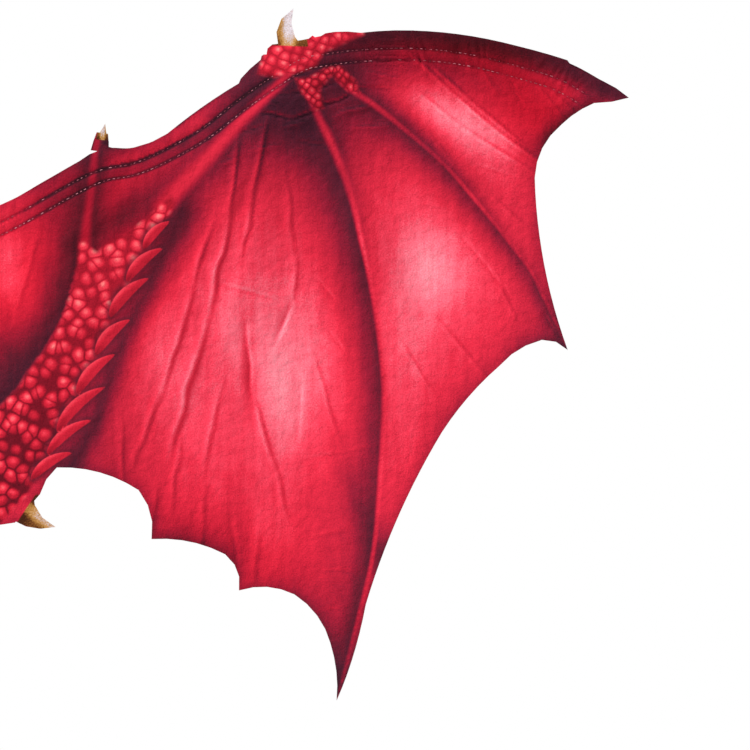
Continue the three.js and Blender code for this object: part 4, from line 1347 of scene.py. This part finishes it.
def elastic_material():
    recipe = Recipe("woven_elastic")
    at = recipe.attribute("weave_at")
    across, run, _ = recipe.parts(at)
    knit = recipe.math("SINE", recipe.times(run, 2 * math.pi / 1.1))
    ribs = recipe.math("SINE", recipe.times(across, 2 * math.pi / 1.0))
    weave = recipe.times(knit, ribs)
    noise = recipe.noise(at, 2.0, 3.0)
    shade = recipe.scaled(weave, 0.15, noise)
    recipe.look({"Base Color": recipe.ramp(shade, [(0.2, "030304"), (0.6, "09090a"), (1.0, "121213")]),
                 "Roughness": 0.8, "Specular IOR Level": 0.12, "Sheen Weight": 0.03,
                 "Normal": recipe.bump(weave, 0.5, 0.0002)})
    return recipe.material


# The scene

FLOOR_RADIUS = 1.25
FLOOR_HEIGHT = -0.42


def make_stage():
    floor = bpy.data.meshes.new("floor")
    count = 96
    angles = np.arange(count) * 2 * math.pi / count
    ring = [(FLOOR_RADIUS * math.cos(a), FLOOR_RADIUS * math.sin(a), FLOOR_HEIGHT) for a in angles]
    floor.from_pydata(ring, [], [list(range(count))])
    piece = added("floor", floor)
    recipe = Recipe("pale_floor")
    at = recipe.node("ShaderNodeTexCoord").outputs["Object"]
    noise = recipe.node("ShaderNodeTexNoise", {"Vector": at, "Scale": 6.0}).outputs[0]
    recipe.look({"Base Color": recipe.ramp(noise, [(0.3, "ececec"), (0.7, "f4f4f4")]), "Roughness": 0.8})
    floor.materials.append(recipe.material)


def aim(item, place, target):
    item.location = place
    item.rotation_euler = (Vector(target) - Vector(place)).to_track_quat("-Z", "Y").to_euler()


def add_sun(name, place, softness, power):
    light = bpy.data.lights.new(name, "SUN")
    light.angle = math.radians(softness)
    light.energy = power
    aim(added(name, light), place, (0, 0, 0))


WORLD_STRENGTH = 0.3
# Columns: name, place that it shines from, softness in degrees, power
SUNS = [
    ("key", (-1.35, -0.75, 0.85), 9, 2.75),
    ("top", (0.5, -0.7, 1.5), 9, 1.38),
    ("fill", (1.2, -1.6, 0.3), 60, 0.35),
    ("behind", (0.5, 1.6, 0.9), 40, 1.2),
]


def light_scene():
    world = bpy.data.worlds.new("studio")
    bpy.context.scene.world = world
    world.use_nodes = True
    tree = world.node_tree
    tree.nodes.clear()
    path = tree.nodes.new("ShaderNodeLightPath")
    mix = tree.nodes.new("ShaderNodeMixShader")
    output = tree.nodes.new("ShaderNodeOutputWorld")
    tree.links.new(path.outputs["Is Camera Ray"], mix.inputs[0])
    for socket, strength in ((1, WORLD_STRENGTH), (2, 1.0)):
        background = tree.nodes.new("ShaderNodeBackground")
        background.inputs["Color"].default_value = (1, 1, 1, 1)
        background.inputs["Strength"].default_value = strength
        tree.links.new(background.outputs[0], mix.inputs[socket])
    tree.links.new(mix.outputs[0], output.inputs["Surface"])
    for sun in SUNS:
        add_sun(*sun)


def add_camera():
    camera = bpy.data.cameras.new("camera")
    camera.sensor_width = SENSOR_WIDTH
    camera.lens = SENSOR_WIDTH * VIEW_DISTANCE / VIEW_WIDTH
    camera.clip_end = 30
    item = added("camera", camera)
    place = (VIEW_MIDDLE[0], -VIEW_DISTANCE, VIEW_MIDDLE[1])
    aim(item, place, (VIEW_MIDDLE[0], 0, VIEW_MIDDLE[1]))
    bpy.context.scene.camera = item


front = front_material()
back = back_material()
elastic = elastic_material()
cloth = make_cloth(front, back)
hem = make_hem(front)
stitches = make_stitches(thread_material())
make_loop("elastic_loop_right", "arm_loop_right", RIGHT_LOOP, 1, elastic)
make_loop("elastic_loop_left", "arm_loop_left", LEFT_LOOP, -1, elastic)

make_stage()
light_scene()
add_camera()
bpy.context.scene.view_settings.view_transform = "Standard"
